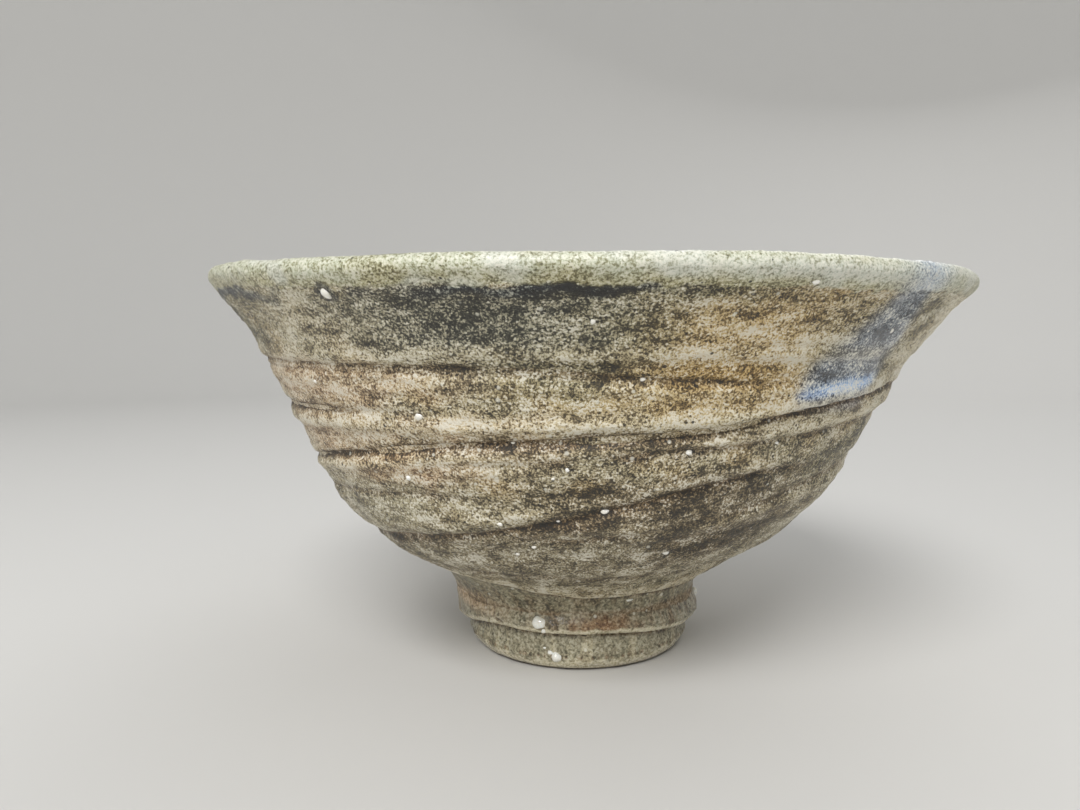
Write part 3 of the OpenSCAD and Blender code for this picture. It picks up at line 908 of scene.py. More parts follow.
class Nodes:
    """A material's node tree, with one short call for each kind of node."""

    def __init__(self, name: str) -> None:
        """Starts a new material and finds its shader.

        Args:
            name: The material's name.
        """
        self.material = bpy.data.materials.new(name)
        self.material.use_nodes = True
        self.tree = self.material.node_tree
        self.shader = self.tree.nodes["Principled BSDF"]
        self.places = self.tree.nodes.new("ShaderNodeTexCoord").outputs["Object"]

    def put(self, value: object, socket: bpy.types.NodeSocket) -> None:
        """Sets a socket to a value, or links it to another socket."""
        if isinstance(value, bpy.types.NodeSocket):
            self.tree.links.new(value, socket)
        else:
            socket.default_value = value

    def attribute(self, name: str) -> bpy.types.Node:
        """Returns a node that reads one of the mesh's attributes."""
        node = self.tree.nodes.new("ShaderNodeAttribute")
        node.attribute_name = name
        return node

    def maths(self, operation: str, *values: object, clamp: bool = False) -> bpy.types.NodeSocket:
        """Returns the result of a Math node on up to three values."""
        node = self.tree.nodes.new("ShaderNodeMath")
        node.operation, node.use_clamp = operation, clamp
        for value, socket in zip(values, node.inputs):
            self.put(value, socket)
        return node.outputs[0]

    def sway(self, value: object, strength: float) -> bpy.types.NodeSocket:
        """Returns a value round 0.5 as a push either way from 0, times a strength."""
        return self.maths("MULTIPLY", self.maths("SUBTRACT", value, 0.5), strength)

    def channels(self, colour: bpy.types.NodeSocket) -> bpy.types.bpy_prop_collection:
        """Returns the red, green and blue of a colour."""
        node = self.tree.nodes.new("ShaderNodeSeparateColor")
        self.tree.links.new(colour, node.inputs[0])
        return node.outputs

    def noise(self, size: float, detail: float = 2.0, rough: float = 0.5, seed: float = 0.0,
              flat: float = 1.0) -> bpy.types.NodeSocket:
        """Returns noise of about 0 to 1 round 0.5.

        Args:
            size: Size of the grains, in millimetres.
            detail: How many finer noises are added.
            rough: Strength of each finer noise.
            seed: Start of the noise.
            flat: How many times lower than wide the grains are.

        Returns:
            The noise.
        """
        node = self.tree.nodes.new("ShaderNodeTexNoise")
        node.noise_dimensions = "4D"
        node.inputs["W"].default_value = seed
        node.inputs["Scale"].default_value = 1.0 / (size * MM)
        node.inputs["Detail"].default_value = detail
        node.inputs["Roughness"].default_value = rough
        turn = self.tree.nodes.new("ShaderNodeMapping")
        turn.inputs["Scale"].default_value = (1.0, 1.0, flat)
        self.tree.links.new(self.places, turn.inputs["Vector"])
        self.tree.links.new(turn.outputs["Vector"], node.inputs["Vector"])
        return node.outputs["Fac"]

    def cells(self, size: float, seed: float = 0.0) -> bpy.types.Node:
        """Returns a Voronoi node whose cells have a size in millimetres."""
        node = self.tree.nodes.new("ShaderNodeTexVoronoi")
        node.voronoi_dimensions = "4D"
        node.inputs["W"].default_value = seed
        node.inputs["Scale"].default_value = 1.0 / (size * MM)
        self.tree.links.new(self.places, node.inputs["Vector"])
        return node

    def span(self, value: object, low: object, high: object) -> bpy.types.NodeSocket:
        """Returns a smooth rise from 0 where value is low to 1 where it is high."""
        node = self.tree.nodes.new("ShaderNodeMapRange")
        node.interpolation_type = "SMOOTHSTEP"
        self.put(value, node.inputs["Value"])
        self.put(low, node.inputs["From Min"])
        self.put(high, node.inputs["From Max"])
        return node.outputs["Result"]

    def mix(self, share: object, first: object, second: object,
            blend: str = "MIX") -> bpy.types.NodeSocket:
        """Returns two colours mixed by a share."""
        node = self.tree.nodes.new("ShaderNodeMix")
        node.data_type, node.blend_type = "RGBA", blend
        self.put(share, node.inputs["Factor"])
        self.put(first, node.inputs[6])
        self.put(second, node.inputs[7])
        return node.outputs[2]

    def bump(self, height: object, distance: float, strength: float,
             normal: object = None) -> bpy.types.NodeSocket:
        """Returns a normal raised by a height, with a depth in millimetres."""
        node = self.tree.nodes.new("ShaderNodeBump")
        node.inputs["Distance"].default_value = distance * MM
        node.inputs["Strength"].default_value = strength
        self.put(height, node.inputs["Height"])
        if normal is not None:
            self.put(normal, node.inputs["Normal"])
        return node.outputs["Normal"]


@dataclass(frozen=True)
class GlazeFinish:
    """A fired surface whose colours come from the piece's own shades.

    Attributes:
        name: The material's name.
        grain: Size of the grains, in millimetres.
        crisp: How sharply pale and dark grains part; small is sharp.
        relief: Depth of the grain's relief, in millimetres.
        spark: How much the palest grains whiten.
        soot: How much the darkest grains blacken.
        drawn: How many times lower than wide the glaze's streaks are; under 1 they run down.
        skin: Specular level of the surface.
        coat: Strength of a clear glassy layer on top.
    """

    name: str
    grain: float = 0.35
    crisp: float = 0.12
    relief: float = 0.13
    spark: float = 0.72
    soot: float = 0.85
    drawn: float = 6.0
    skin: float = 0.5
    coat: float = 0.0

    def make(self) -> bpy.types.Material:
        """Builds the material.

        Grains are fine noise and cells mixed. Where they pass the share of dark grains the
        pale tone shows, and below it the deep one. White flecks and black pinholes lie on top,
        as many as the marks say.

        Returns:
            The material.
        """
        n = Nodes(self.name)
        pale, deep, marks = (n.attribute(key) for key in ("pale", "deep", "marks"))
        fine = n.span(n.noise(self.grain, 2.0, 0.62), 0.30, 0.70)
        cell = n.cells(self.grain * 1.05, 3.0)
        random = n.channels(cell.outputs["Color"])
        grains = n.maths("MULTIPLY_ADD", fine, 0.55, n.maths("MULTIPLY", random[0], 0.45))
        blotch = n.sway(n.noise(5.0, 3.0, 0.6, 7.0), 0.30)
        cluster = n.sway(n.noise(1.5, 2.0, 0.6, 9.0), 0.50)
        streak = n.sway(n.noise(4.0, 3.0, 0.6, 11.0, self.drawn), 0.55)
        uneven = n.maths("ADD", streak, n.maths("ADD", blotch, cluster))
        share = n.maths("ADD", pale.outputs["Alpha"], uneven)
        light = n.span(grains, n.maths("SUBTRACT", share, self.crisp), n.maths("ADD", share, self.crisp))
        colour = n.mix(light, deep.outputs["Color"], pale.outputs["Color"])
        tint = n.span(n.noise(1.3, 2.0, 0.5, 15.0), 0.35, 0.65)
        colour = n.mix(n.maths("MULTIPLY", tint, 0.14), colour, AGED, "MULTIPLY")
        glint = n.span(grains, n.maths("ADD", share, 0.18), n.maths("ADD", share, 0.38))
        colour = n.mix(n.maths("MULTIPLY", glint, self.spark), colour, WHITE_GRAIN)
        black = n.span(grains, n.maths("SUBTRACT", share, 0.20), n.maths("SUBTRACT", share, 0.40))
        colour = n.mix(n.maths("MULTIPLY", black, self.soot), colour, SOOT)
        parts = n.channels(marks.outputs["Color"])
        fleck = self._dots(n, 1.15, 21.0, parts[0], 0.34)
        colour = n.mix(n.maths("MULTIPLY", fleck, 0.7), colour, FLECK)
        pit = self._dots(n, 1.0, 33.0, parts[1], 0.28)
        colour = n.mix(n.maths("MULTIPLY", pit, 0.9), colour, PINHOLE)
        n.put(colour, n.shader.inputs["Base Color"])
        worn = n.sway(fine, 0.2)
        n.put(n.maths("ADD", deep.outputs["Alpha"], worn, clamp=True), n.shader.inputs["Roughness"])
        height = n.maths("ADD", grains, n.maths("MULTIPLY", fleck, 0.5))
        height = n.maths("SUBTRACT", height, n.maths("MULTIPLY", pit, 1.0))
        gentle = n.bump(n.noise(2.2, 3.0, 0.55, 40.0), 0.30, 0.35)
        n.put(n.bump(height, self.relief, 1.0, gentle), n.shader.inputs["Normal"])
        n.shader.inputs["Specular IOR Level"].default_value = self.skin
        n.shader.inputs["Coat Weight"].default_value = self.coat
        n.shader.inputs["Coat Roughness"].default_value = COAT_ROUGH
        return n.material

    @staticmethod
    def _dots(n: Nodes, size: float, seed: float, share: object, radius: float) -> bpy.types.NodeSocket:
        """Returns scattered dots: the middles of those cells whose random number is small.

        Args:
            n: The node tree.
            size: Size of a cell, in millimetres.
            seed: Start of the cells.
            share: How many of the cells have a dot.
            radius: Radius of a dot, as a share of a cell.

        Returns:
            1 on a dot and 0 off it.
        """
        cell = n.cells(size, seed)
        random = n.channels(cell.outputs["Color"])
        chosen = n.maths("LESS_THAN", random[1], n.maths("MULTIPLY", share, DOT_SHARE))
        wide = n.maths("MULTIPLY_ADD", random[2], radius, radius * 0.35)
        inside = n.span(cell.outputs["Distance"], wide, n.maths("MULTIPLY", wide, 0.6))
        return n.maths("MULTIPLY", chosen, inside)


# The neck and the foot share one calm finish, so that they flow into each other
FOOT_FINISH = GlazeFinish("foot_glaze", grain=0.5, crisp=0.34, relief=0.08, spark=0.2, soot=0.3,
                          drawn=0.25, coat=0.2)


# ---------------------------------------------------------------- pieces


@dataclass
class Piece:
    """One finished piece of the bowl.

    Attributes:
        name: The piece's name.
        node: The CAD node that it stands for.
        slot: The record's material slot; not used.
        finish: Its finish.
    """

    name: str
    node: str
    slot: str
    finish: GlazeFinish

    def stand(self, mesh: bpy.types.Mesh) -> bpy.types.Object:
        """Puts the mesh in the scene, dresses it and ties it to the frame.

        Args:
            mesh: The piece's mesh, already in its place.

        Returns:
            The new object.
        """
        made = placed(self.name, mesh)
        made.data.materials.append(self.finish.make())
        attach(made, BODY)
        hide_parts(self.node)
        LOG.info("%s: %d vertices, %d faces", self.name, len(mesh.vertices), len(mesh.polygons))
        return made


@dataclass
class Coat:
    """A closed coat on the bowl's skin, between two lines round the profile.

    Attributes:
        form: The bowl's form.
        depth: Thickness of the coat, in millimetres.
        columns: Points round the bowl.
        rows: Points up the coat's face.
        back_rows: Points down its hidden back.
        sand: Height of the sandy unevenness on its face, in millimetres.
        seed: Start of the random draws.
    """

    form: Form
    depth: float
    columns: int
    rows: int
    back_rows: int
    sand: float
    seed: int

    def sheet(self, start: np.ndarray, end: np.ndarray) -> Sheet:
        """Returns the coat's grid: its face up from start to end, then its back down again.

        Args:
            start: Millimetres along the profile where it starts, one a column.
            end: Where it ends, one a column.

        Returns:
            The grid, closed both ways.
        """
        azimuth = compass(self.columns)
        share = np.linspace(0.0, 1.0, self.rows)[:, None]
        face_t = start + (end - start) * share
        fine = grit(self.rows, self.columns, 0.7, self.seed) * self.sand
        lumps = grit(self.rows, self.columns, 2.6, self.seed + 1) * self.sand
        within = soft_step(0.0, 1.2, face_t - start) * soft_step(0.0, 1.2, end - face_t)
        face = self.form.points(azimuth, face_t, extra=(fine + lumps) * within)
        back_t = start + (end - start) * np.linspace(1.0, 0.0, self.back_rows)[:, None]
        back = self.form.points(azimuth, back_t, self.depth)
        t = np.vstack([face_t, back_t])
        height = self.form.height_of(t)
        outside = soft_step(1.0, -1.0, t - self.form.marks["top"])
        shades = wall_shades(np.broadcast_to(azimuth, t.shape), height, outside)
        return Sheet(np.vstack([face, back]), shades)


@dataclass
class Glazes:
    """The glaze coats: ash outside, the lip's thick band and the lining."""

    form: Form

    def edge_out(self, columns: int) -> np.ndarray:
        """Returns where the lip's glaze ends outside, a line that wanders a little."""
        azimuth = compass(columns)
        line = around(BAND_LINE, azimuth) + 0.22 * Mist(6, 41).at(azimuth, 0 * azimuth)
        return self.form.outside_at(line + 0.10 * Mist(1.6, 44, 60).at(azimuth, 0 * azimuth))

    def edge_in(self, columns: int) -> np.ndarray:
        """Returns where the lip's glaze ends inside."""
        azimuth = compass(columns)
        return self.form.inside_at(70.9 + 0.4 * Mist(8, 42).at(azimuth, 0 * azimuth))

    def build(self) -> None:
        """Builds and dresses the three coats."""
        self.ash()
        self.lip()
        self.lining()

    def ash(self) -> bpy.types.Object:
        """Builds the speckled ash glaze on the outside, from the ledge to the lip's band."""
        coat = Coat(self.form, 0.7, 480, 192, 14, 0.04, 101)
        start = self.form.outside_at(around(LEDGE_LINE, compass(coat.columns)))
        sheet = coat.sheet(start, self.edge_out(coat.columns))
        piece = Piece("ash_coat", "outer_glaze", "ash_glaze", GlazeFinish("ash_glaze"))
        return piece.stand(sheet.mesh(piece.name))

    def lip(self) -> bpy.types.Object:
        """Builds the thick glossy glaze over the lip."""
        coat = Coat(self.form, 1.0, 1080, 30, 10, 0.03, 103)
        sheet = coat.sheet(self.edge_out(coat.columns), self.edge_in(coat.columns))
        finish = GlazeFinish("lip_glaze", crisp=0.14, relief=0.07, spark=0.5, soot=0.6, coat=0.08)
        piece = Piece("lip_coat", "rim_glaze", "rim_glaze", finish)
        return piece.stand(sheet.mesh(piece.name))

    def lining(self) -> bpy.types.Object:
        """Builds the lining, from the lip's glaze down to the middle of the well."""
        coat = Coat(self.form, 0.7, 600, 120, 24, 0.03, 105)
        sheet = coat.sheet(self.edge_in(coat.columns), np.full(coat.columns, self.form.marks["well"]))
        sheet = Sheet(np.roll(sheet.points, coat.back_rows, 0), np.roll(sheet.shades, coat.back_rows, 0),
                      poles=True)
        finish = GlazeFinish("lining_glaze", relief=0.05, coat=0.15)
        piece = Piece("lining", "inner_glaze", "inner_glaze", finish)
        return piece.stand(sheet.mesh(piece.name))


@dataclass
class Clay:
    """The bowl's clay, seen only at the trimmed neck and under the foot.

    Attributes:
        form: The bowl's form.
        neck_z: Height where the neck starts, in millimetres.
        step: How far the clay stands in from the ash coat's lower edge, in millimetres.
        recess_r: Radius of the recess's ceiling, in millimetres.
        peak: Height of the peak that the trimming tool left on that ceiling.
        tuck: How far the neck starts inside the foot ring's side, in millimetres.
        draw_in: How far the neck's middle is drawn in, in millimetres.
        columns: Points round the clay.
    """

    form: Form
    neck_z: float
    step: float = 0.55
    recess_r: float = 17.5
    peak: float = 1.2
    tuck: float = 0.12
    draw_in: float = 0.35
    columns: int = 420

    def build(self) -> bpy.types.Object:
        """Builds the clay: ceiling, neck, ledge, then the skin under the glazes.

        Returns:
            The piece.
        """
        azimuth = compass(self.columns)
        line = around(LEDGE_LINE, azimuth)
        start = self.form.outside_at(line)
        t = start + (self.form.marks["well"] - start) * np.linspace(0.0, 1.0, 120)[:, None]
        skin = self.form.points(azimuth, t, 0.7 + 0.3 * self.form.lip_share(t))
        ledge = self.form.points(azimuth, start[None], self.step)[0]
        points = np.vstack([self.ceiling(azimuth), self.neck(azimuth, ledge), skin])
        shades = plain(Glaze.BARE, points.shape[:2])
        piece = Piece("clay_body", "clay_wall", "clay", FOOT_FINISH)
        height = points[..., 2] / MM
        neck = soft_step(self.neck_z - 0.6, self.neck_z + 0.6, height)
        shades = blend_rows(shades, foot_shades(np.broadcast_to(azimuth, height.shape), height), neck)
        return piece.stand(Sheet(points, shades, poles=True).mesh(piece.name))

    def ceiling(self, azimuth: np.ndarray) -> np.ndarray:
        """Returns the recess's ceiling: a low peak with the spiral of the trimming tool.

        The height is neck_z less peak times (1 - r / R)^2, plus a small wave whose phase grows
        with r and with the azimuth.

        Args:
            azimuth: Degrees from the front, one a column.

        Returns:
            Rows of points from the middle outwards, in metres.
        """
        share = np.linspace(0.0, 1.0, 34)[:, None]
        r = self.recess_r * share
        wave = 0.10 * np.cos(2 * math.pi * r / 2.1 - np.radians(azimuth)) * soft_step(0.0, 0.12, share)
        z = self.neck_z - self.peak * soft_step(0.62, 0.0, share) + wave * soft_step(1.0, 0.9, share)
        a = np.radians(azimuth)
        return np.stack([r * np.sin(a), -r * np.cos(a), z + 0 * a], -1) * MM

    def neck(self, azimuth: np.ndarray, ledge: np.ndarray) -> np.ndarray:
        """Returns the hollow neck between the foot ring and the ash coat's lower edge.

        Each point is a quadratic curve between the two, pulled in and down.

        Args:
            azimuth: Degrees from the front, one a column.
            ledge: Where the neck ends, one point a column, in metres.

        Returns:
            Rows of points, in metres.
        """
        a = np.radians(azimuth)
        r = around(NECK_R, azimuth)
        r = 0.4 * around(BULGE_R, azimuth) + 0.6 * r - self.tuck
        z = 0.45 * around(BULGE_Z, azimuth) + 0.55 * self.neck_z
        foot = np.stack([r * np.sin(a) + FOOT_SHIFT, -r * np.cos(a), z], -1) * MM
        out = outwards_at(azimuth)
        waist = out * (self.draw_in * MM)
        pull = 0.72 * foot + 0.28 * ledge - waist
        pull[:, 2] = foot[:, 2] + 0.60 * (ledge[:, 2] - foot[:, 2])
        s = np.linspace(0.0, 1.0, 22)[:, None, None]
        curve = (1 - s) ** 2 * foot + 2 * s * (1 - s) * pull + s**2 * ledge
        rough = grit(22, self.columns, 1.2, 71) * 0.05 * MM
        return curve + rough[..., None] * out


@dataclass
class FootRing:
    """The foot ring, trimmed in two steps that don't run level.

    Attributes:
        height: Height of the ring, in millimetres.
        columns: Points round it.
    """

    height: float
    columns: int = 540

    def build(self) -> bpy.types.Object:
        """Builds the ring as one closed outline carried round, and dresses it.

        Returns:
            The piece.
        """
        azimuth = compass(self.columns)
        step = around(STEP_LINE, azimuth)
        bulge_z, bulge_r = around(BULGE_Z, azimuth), around(BULGE_R, azimuth)
        neck = around(NECK_R, azimuth)
        top = self.height + 0.3
        one = np.ones_like(azimuth)
        stations = np.stack([np.stack([r * one, z * one], -1) for r, z in (
            (19.9, 0.0), (20.9, 0.14), (22.0, 0.8), (22.8, 1.9), (23.2, 3.0), (23.0, 0.4 * step + 2.0),
            (22.8, step - 1.0), (22.7, step - 0.45), (23.2, step - 0.12), (24.2, step - 0.05),
            (0.35 * bulge_r + 15.95, step + 0.45), (0.5 * bulge_r + 12.6, step + 1.25),
            (0.85 * bulge_r + 3.72, 0.5 * (step + 1.6 + bulge_z)),
            (bulge_r, bulge_z), (0.4 * bulge_r + 0.6 * neck, 0.45 * bulge_z + 0.55 * top),
            (neck - 0.35, top), (20.4, top + 0.2), (16.6, top), (16.7, 10.0), (17.3, 5.0), (17.8, 1.8),
            (18.3, 0.6), (19.3, 0.0))])
        flat = stations.reshape(len(stations), -1)
        loop = np.vstack([flat[-1:], flat, flat[:1]])
        line = flowing_line(loop, 7)[7:-8].reshape(-1, self.columns, 2)
        r, z = line[..., 0], line[..., 1]
        rough = (grit(len(line), self.columns, 1.0, 81) * 0.035
                 + grit(len(line), self.columns, 5.0, 82) * 0.09)
        free = soft_step(0.05, 0.8, z) * soft_step(top, top - 0.6, z)
        a = np.radians(azimuth)
        r = r + rough * free + 0.12 * np.cos(3 * a + 0.7) * free
        points = np.stack([r * np.sin(a) + FOOT_SHIFT, -r * np.cos(a), np.maximum(z, 0.0)], -1) * MM
        shades = foot_shades(np.broadcast_to(azimuth, z.shape), z)
        inside = soft_step(19.4, 18.2, r)
        under = soft_step(0.9, 0.2, z)
        shades = blend_rows(shades, Glaze.BARE.value.row(), np.maximum(inside, 0.8 * under))
        piece = Piece("foot", "foot_ring", "foot_clay", FOOT_FINISH)
        return piece.stand(Sheet(points, shades).mesh(piece.name))


@dataclass
class WellPool:
    """Green glass pooled in the bottom of the well.

    Attributes:
        form: The bowl's form.
        level: Height of its surface, in millimetres.
        columns: Points round it.
    """

    form: Form
    level: float
    columns: int = 240

    def build(self) -> bpy.types.Object:
        """Builds the pool: a bed under the lining's face, then the level surface.

        Returns:
            The piece.
        """
        azimuth = compass(self.columns)
        shore = float(self.form.inside_at(np.array(self.level + 0.05)))
        bed_t = self.form.marks["well"] + (shore - self.form.marks["well"]) * np.linspace(0, 1, 16)
        bed = self.form.points(azimuth, bed_t[:, None] + 0 * azimuth, 0.3, 1.0)
        r = np.linspace(1.0, 0.0, 40)[:, None]
        edge = bed[-1]
        meniscus = 0.25 * MM * np.exp(-(((1 - r) / 0.06) ** 2))
        wave = Mist(7, 61).at(azimuth + 0 * r, 16 * r) * 0.02 * MM
        top = np.stack([edge[:, 0] * r, edge[:, 1] * r, 0 * azimuth + self.level * MM + meniscus
                        + wave * soft_step(0.0, 0.3, r)], -1)
        points = np.vstack([bed, top])
        shades = plain(Glaze.POOL, points.shape[:2])
        finish = GlazeFinish("pool_glass", grain=0.8, relief=0.008, spark=0.0, coat=1.0)
        piece = Piece("pool", "well_pool", "pool_glass", finish)
        return piece.stand(Sheet(points, shades, poles=True).mesh(piece.name))


@dataclass
class BlueRun:
    """The blue run: a lens of thicker glaze down the flare, its edge lost in the ash coat.

    Attributes:
        form: The bowl's form.
        sunk: How far its edge lies under the ash coat's face, in millimetres.
    """

    form: Form
    sunk: float = 0.22

    def build(self) -> bpy.types.Object:
        """Builds the run as a flat tube: its face across, then its back across again.

        Returns:
            The piece.
        """
        rows, across = 120, 84
        z = np.linspace(52.6, 73.2, rows)[:, None]
        face_a = np.linspace(27.0, 55.0, across)
        back_a = np.linspace(55.0, 27.0, 20)
        t = self.form.outside_at(z)
        height = z + 0 * face_a
        push, lift = Mist(5, 51).at(face_a, z), Mist(4, 52).at(face_a, z)
        spread = BLUE_RUN.spread(face_a + 0.5 * push, height + 0.3 * lift)
        pool = BLUE_RUN.pool(face_a + 0.4 * push, height + 0.2 * lift)
        low = 0.45 + 0.55 * soft_step(70.0, 57.0, height)
        lift_out = BLUE_RUN.thick * (0.8 * spread * low + 0.35 * pool) - self.sunk
        grain = grit(rows, across, 0.8, 53) * 0.012
        ends = soft_step(0.0, 0.06, np.linspace(0, 1, rows)) * soft_step(1.0, 0.94, np.linspace(0, 1, rows))
        raised = (lift_out + self.sunk) * ends[:, None] - self.sunk + grain
        face = self.form.points(face_a, t + 0 * face_a, extra=raised)
        back = self.form.points(back_a, t + 0 * back_a, 0.5)
        a = np.concatenate([face_a, back_a])
        shades = wall_shades(np.broadcast_to(a, (rows, len(a))), z + 0 * a, np.ones((rows, len(a))))
        finish = GlazeFinish("blue_glaze", relief=0.05, coat=0.35)
        piece = Piece("blue_glaze_run", "blue_run", "blue_glaze", finish)
        return piece.stand(Sheet(np.hstack([face, back]), shades, poles=True).mesh(piece.name))


def lumps(places: np.ndarray, outwards: np.ndarray, sizes: np.ndarray, stretch: np.ndarray,
          seed: int) -> tuple[np.ndarray, np.ndarray, np.ndarray]:
    """Returns many small rounded lumps as one set of points and faces.

    A lump is a ball whose radius swells by a few slow waves of its two angles, flattened along
    the way outwards and stretched across.

    Args:
        places: Middle of each lump, in metres.
        outwards: Way outwards at each lump.
        sizes: Radius of each lump, in metres.
        stretch: Length of each lump down the wall, as a share of its width.
        seed: Start of the random draws.

    Returns:
        Points, quads and triangles.
    """
    rows, columns = 14, 22
    count = len(places)
    draw = np.random.default_rng(seed)
    polar = np.linspace(0, math.pi, rows)[None, :, None]
    turn = (np.arange(columns) * 2 * math.pi / columns)[None, None, :]
    phase = draw.uniform(0, 2 * math.pi, (5, count, 1, 1))
    bump = (0.06 * np.cos(2 * turn + phase[0]) * np.sin(polar) + 0.06 * np.cos(3 * turn + phase[1]) *
            np.sin(polar) ** 2 + 0.08 * np.cos(2 * polar + phase[2])
            + 0.05 * np.cos(5 * turn + 2 * polar + phase[3]) * np.sin(polar) ** 2)
    radius = 1.0 + bump
    ball = np.stack([radius * np.sin(polar) * np.cos(turn), radius * np.sin(polar) * np.sin(turn),
                     radius * np.cos(polar) * np.ones_like(turn)], -1)
    up = np.tile([0.0, 0.0, 1.0], (count, 1))
    aside = np.cross(up, outwards)
    aside /= np.linalg.norm(aside, axis=1)[:, None]
    down = np.cross(outwards, aside)
    x, y, z = ball[..., 0], ball[..., 1], ball[..., 2]
    scale = sizes[:, None, None, None]
    points = places[:, None, None, :] + scale * (
        x[..., None] * aside[:, None, None, :]
        + (y * stretch[:, None, None])[..., None] * down[:, None, None, :]
        + 0.8 * z[..., None] * outwards[:, None, None, :])
    body = points[:, 1:-1].reshape(count, -1, 3)
    poles = points[:, [0, -1], 0]
    each = np.concatenate([body, poles], 1)
    index = np.arange((rows - 2) * columns).reshape(rows - 2, columns)
    low, high = index[:-1], index[1:]
    quads = np.stack([low, high, np.roll(high, -1, 1), np.roll(low, -1, 1)], -1).reshape(-1, 4)
    first, last = (rows - 2) * columns, (rows - 2) * columns + 1
    tops = np.stack([np.full(columns, first), index[0], np.roll(index[0], -1)], -1)
    ends = np.stack([index[-1], np.full(columns, last), np.roll(index[-1], -1)], -1)
    triangles = np.vstack([tops, ends])
    base = (np.arange(count) * each.shape[1])[:, None, None]
    return each.reshape(-1, 3), (quads + base).reshape(-1, 4), (triangles + base).reshape(-1, 3)


@dataclass
class Stones:
    """Feldspar stones that burst through the ash coat."""

    form: Form

    def build(self) -> bpy.types.Object:
        """Builds every stone at its place on the ash coat's face.

        Returns:
            The piece.
        """
        azimuth, z, d = (np.array(column) for column in zip(*STONES))
        t = self.form.outside_at(z)
        sunk = 0.16 * d
        places = self.form.points(azimuth, t, sunk)
        outwards = self.form.points(azimuth, t, -1.0) - self.form.points(azimuth, t, 0.0)
        outwards /= np.linalg.norm(outwards, axis=1)[:, None]
        long = np.random.default_rng(92).uniform(0.7, 1.25, len(d))
        long[0] = 1.3
        points, quads, triangles = lumps(places, outwards, d / 2 * MM, long, 91)
        shades = plain(Glaze.STONE, (len(points),))
        piece = Piece("stones", "feldspar_stones", "feldspar",
                      GlazeFinish("feldspar", relief=0.04, coat=0.3))
        return piece.stand(build_mesh(piece.name, points, quads, triangles, shades))


@dataclass
class FootDrops:
    """White glaze drops that ran onto the foot ring."""

    foot: FootRing

    def build(self) -> bpy.types.Object:
        """Builds every drop on the foot's side.

        Returns:
            The piece.
        """
        azimuth, z, d, long, r = (np.array(column, float) for column in zip(*DROPS))
        out = outwards_at(azimuth)
        places = out * (r[:, None]) * MM
        places[:, 0] += FOOT_SHIFT * MM
        places[:, 2] = z * MM
        points, quads, triangles = lumps(places, out, d / 2 * MM, long, 93)
        shades = plain(Glaze.DROP, (len(points),))
        piece = Piece("drops", "foot_drops", "drop_glaze",
                      GlazeFinish("drop_glaze", relief=0.02, coat=1.0))
        return piece.stand(build_mesh(piece.name, points, quads, triangles, shades))


# ---------------------------------------------------------------- stage, light and camera


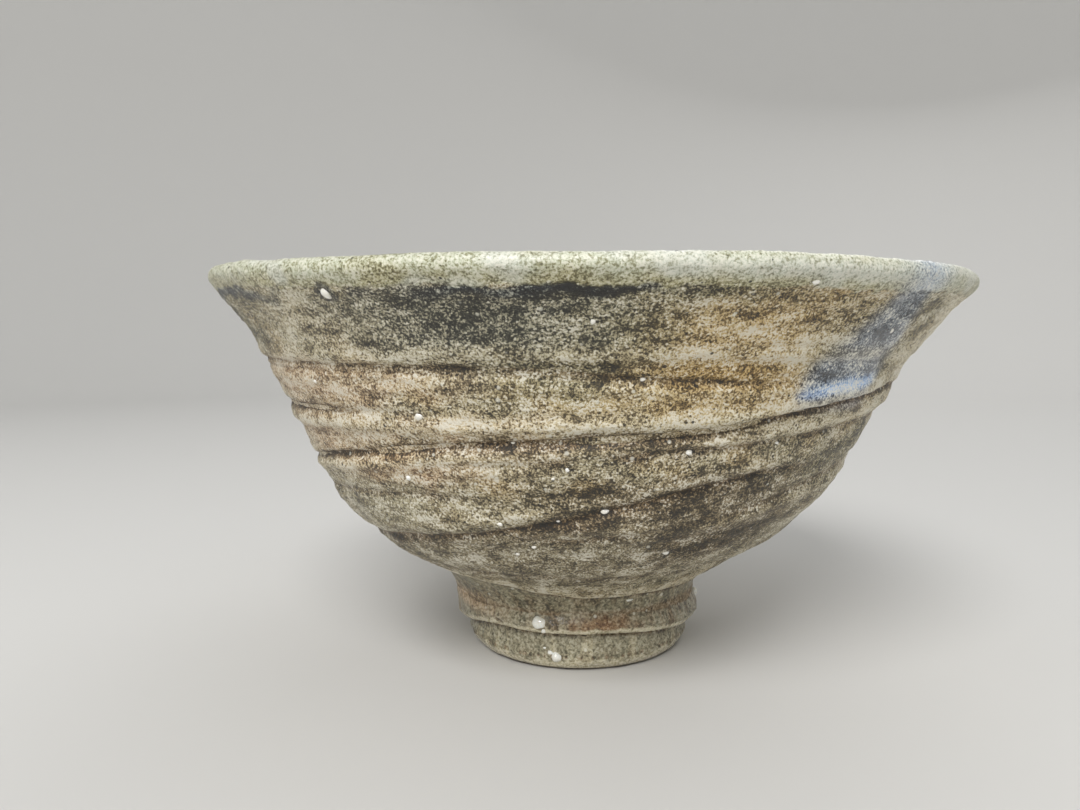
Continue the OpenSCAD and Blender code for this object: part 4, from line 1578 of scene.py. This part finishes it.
@dataclass(frozen=True)
class Studio:
    """A pale round cove, soft light and the camera.

    Attributes:
        floor_r: Radius of the flat floor, in metres.
        bend_r: Radius of the bend up into the wall.
        wall_z: Height of the wall.
        lens: Focal length of the camera, in millimetres.
        film: Width of its film, in millimetres.
        back: How far it stands in front of the axis, in millimetres.
        up: Height of its eye, in millimetres.
        yaw: Degrees that it looks to the left.
        pitch: Degrees that it looks down.
    """

    floor_r: float = 0.75
    bend_r: float = 0.45
    wall_z: float = 1.1
    lens: float = 28.33
    film: float = 36.0
    back: float = 180.8
    up: float = 64.5
    yaw: float = 2.73
    pitch: float = 4.73

    def build(self) -> None:
        """Sets up the stage, the lights and the camera."""
        self.cove()
        self.lights()
        self.camera()

    def cove(self) -> None:
        """Builds the cove: a disc, a quarter round and a wall, carried round the axis."""
        bend = np.linspace(0.0, math.pi / 2, 24)
        r = np.concatenate([np.linspace(0.0, self.floor_r, 12)[:-1],
                            self.floor_r + self.bend_r * np.sin(bend), [self.floor_r + self.bend_r]])
        z = np.concatenate([np.zeros(11), self.bend_r * (1 - np.cos(bend)), [self.wall_z]])
        a = np.linspace(0, 2 * math.pi, 96, endpoint=False)
        points = np.stack([r[::-1, None] * np.cos(a), r[::-1, None] * np.sin(a), z[::-1, None] + 0 * a], -1)
        shades = np.zeros(points.shape[:2] + (SHADE_WIDTH,))
        mesh = Sheet(points, shades, closed=False).mesh("cove")
        cove = placed("cove", mesh)
        n = Nodes("cove_paper")
        n.shader.inputs["Base Color"].default_value = (0.60, 0.59, 0.57, 1.0)
        n.shader.inputs["Roughness"].default_value = 0.9
        mesh.materials.append(n.material)

    def lights(self) -> None:
        """Hangs a large soft key in front and above, a weaker one behind, and fills the room."""
        for name, place, size, power in (("key", (-0.15, -0.72, 0.72), 0.5, 9.0),
                                         ("back", (0.35, 0.75, 0.8), 0.9, 3.0)):
            data = bpy.data.lights.new(name, "AREA")
            data.shape, data.size, data.energy = "DISK", size, power
            lamp = placed(name, data)
            lamp.location = place
            aim = -np.array(place) + np.array([0, 0, 0.04])
            lamp.rotation_euler = Vector(aim).to_track_quat("-Z", "Y").to_euler()
        world = bpy.data.worlds.new("room")
        world.use_nodes = True
        world.node_tree.nodes["Background"].inputs["Color"].default_value = (0.95, 0.98, 1.0, 1.0)
        world.node_tree.nodes["Background"].inputs["Strength"].default_value = 0.55
        bpy.context.scene.world = world
        bpy.context.scene.view_settings.view_transform = "Standard"

    def camera(self) -> None:
        """Places the camera close in front, a little over the bowl's middle."""
        data = bpy.data.cameras.new("camera")
        data.lens, data.sensor_width = self.lens, self.film
        data.clip_start = 0.005
        view = placed("camera", data)
        view.location = (0.0, -self.back * MM, self.up * MM)
        yaw, pitch = math.radians(self.yaw), math.radians(self.pitch)
        aim = Vector((-math.sin(yaw) * math.cos(pitch), math.cos(yaw) * math.cos(pitch),
                      -math.sin(pitch)))
        view.rotation_euler = aim.to_track_quat("-Z", "Y").to_euler()
        bpy.context.scene.camera = view


def main() -> None:
    """Builds the bowl, the stage and the camera."""
    logging.basicConfig(level=logging.INFO, format="%(message)s")
    lip, ring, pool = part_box("rim_glaze")[1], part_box("foot_ring")[1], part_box("well_pool")[1]
    form = Form(rim_r=lip.x / MM, top_z=lip.z / MM)
    Glazes(form).build()
    Clay(form, neck_z=ring.z / MM).build()
    foot = FootRing(height=ring.z / MM)
    foot.build()
    WellPool(form, level=pool.z / MM).build()
    BlueRun(form).build()
    Stones(form).build()
    FootDrops(foot).build()
    Studio().build()


if __name__ == "__main__":
    main()
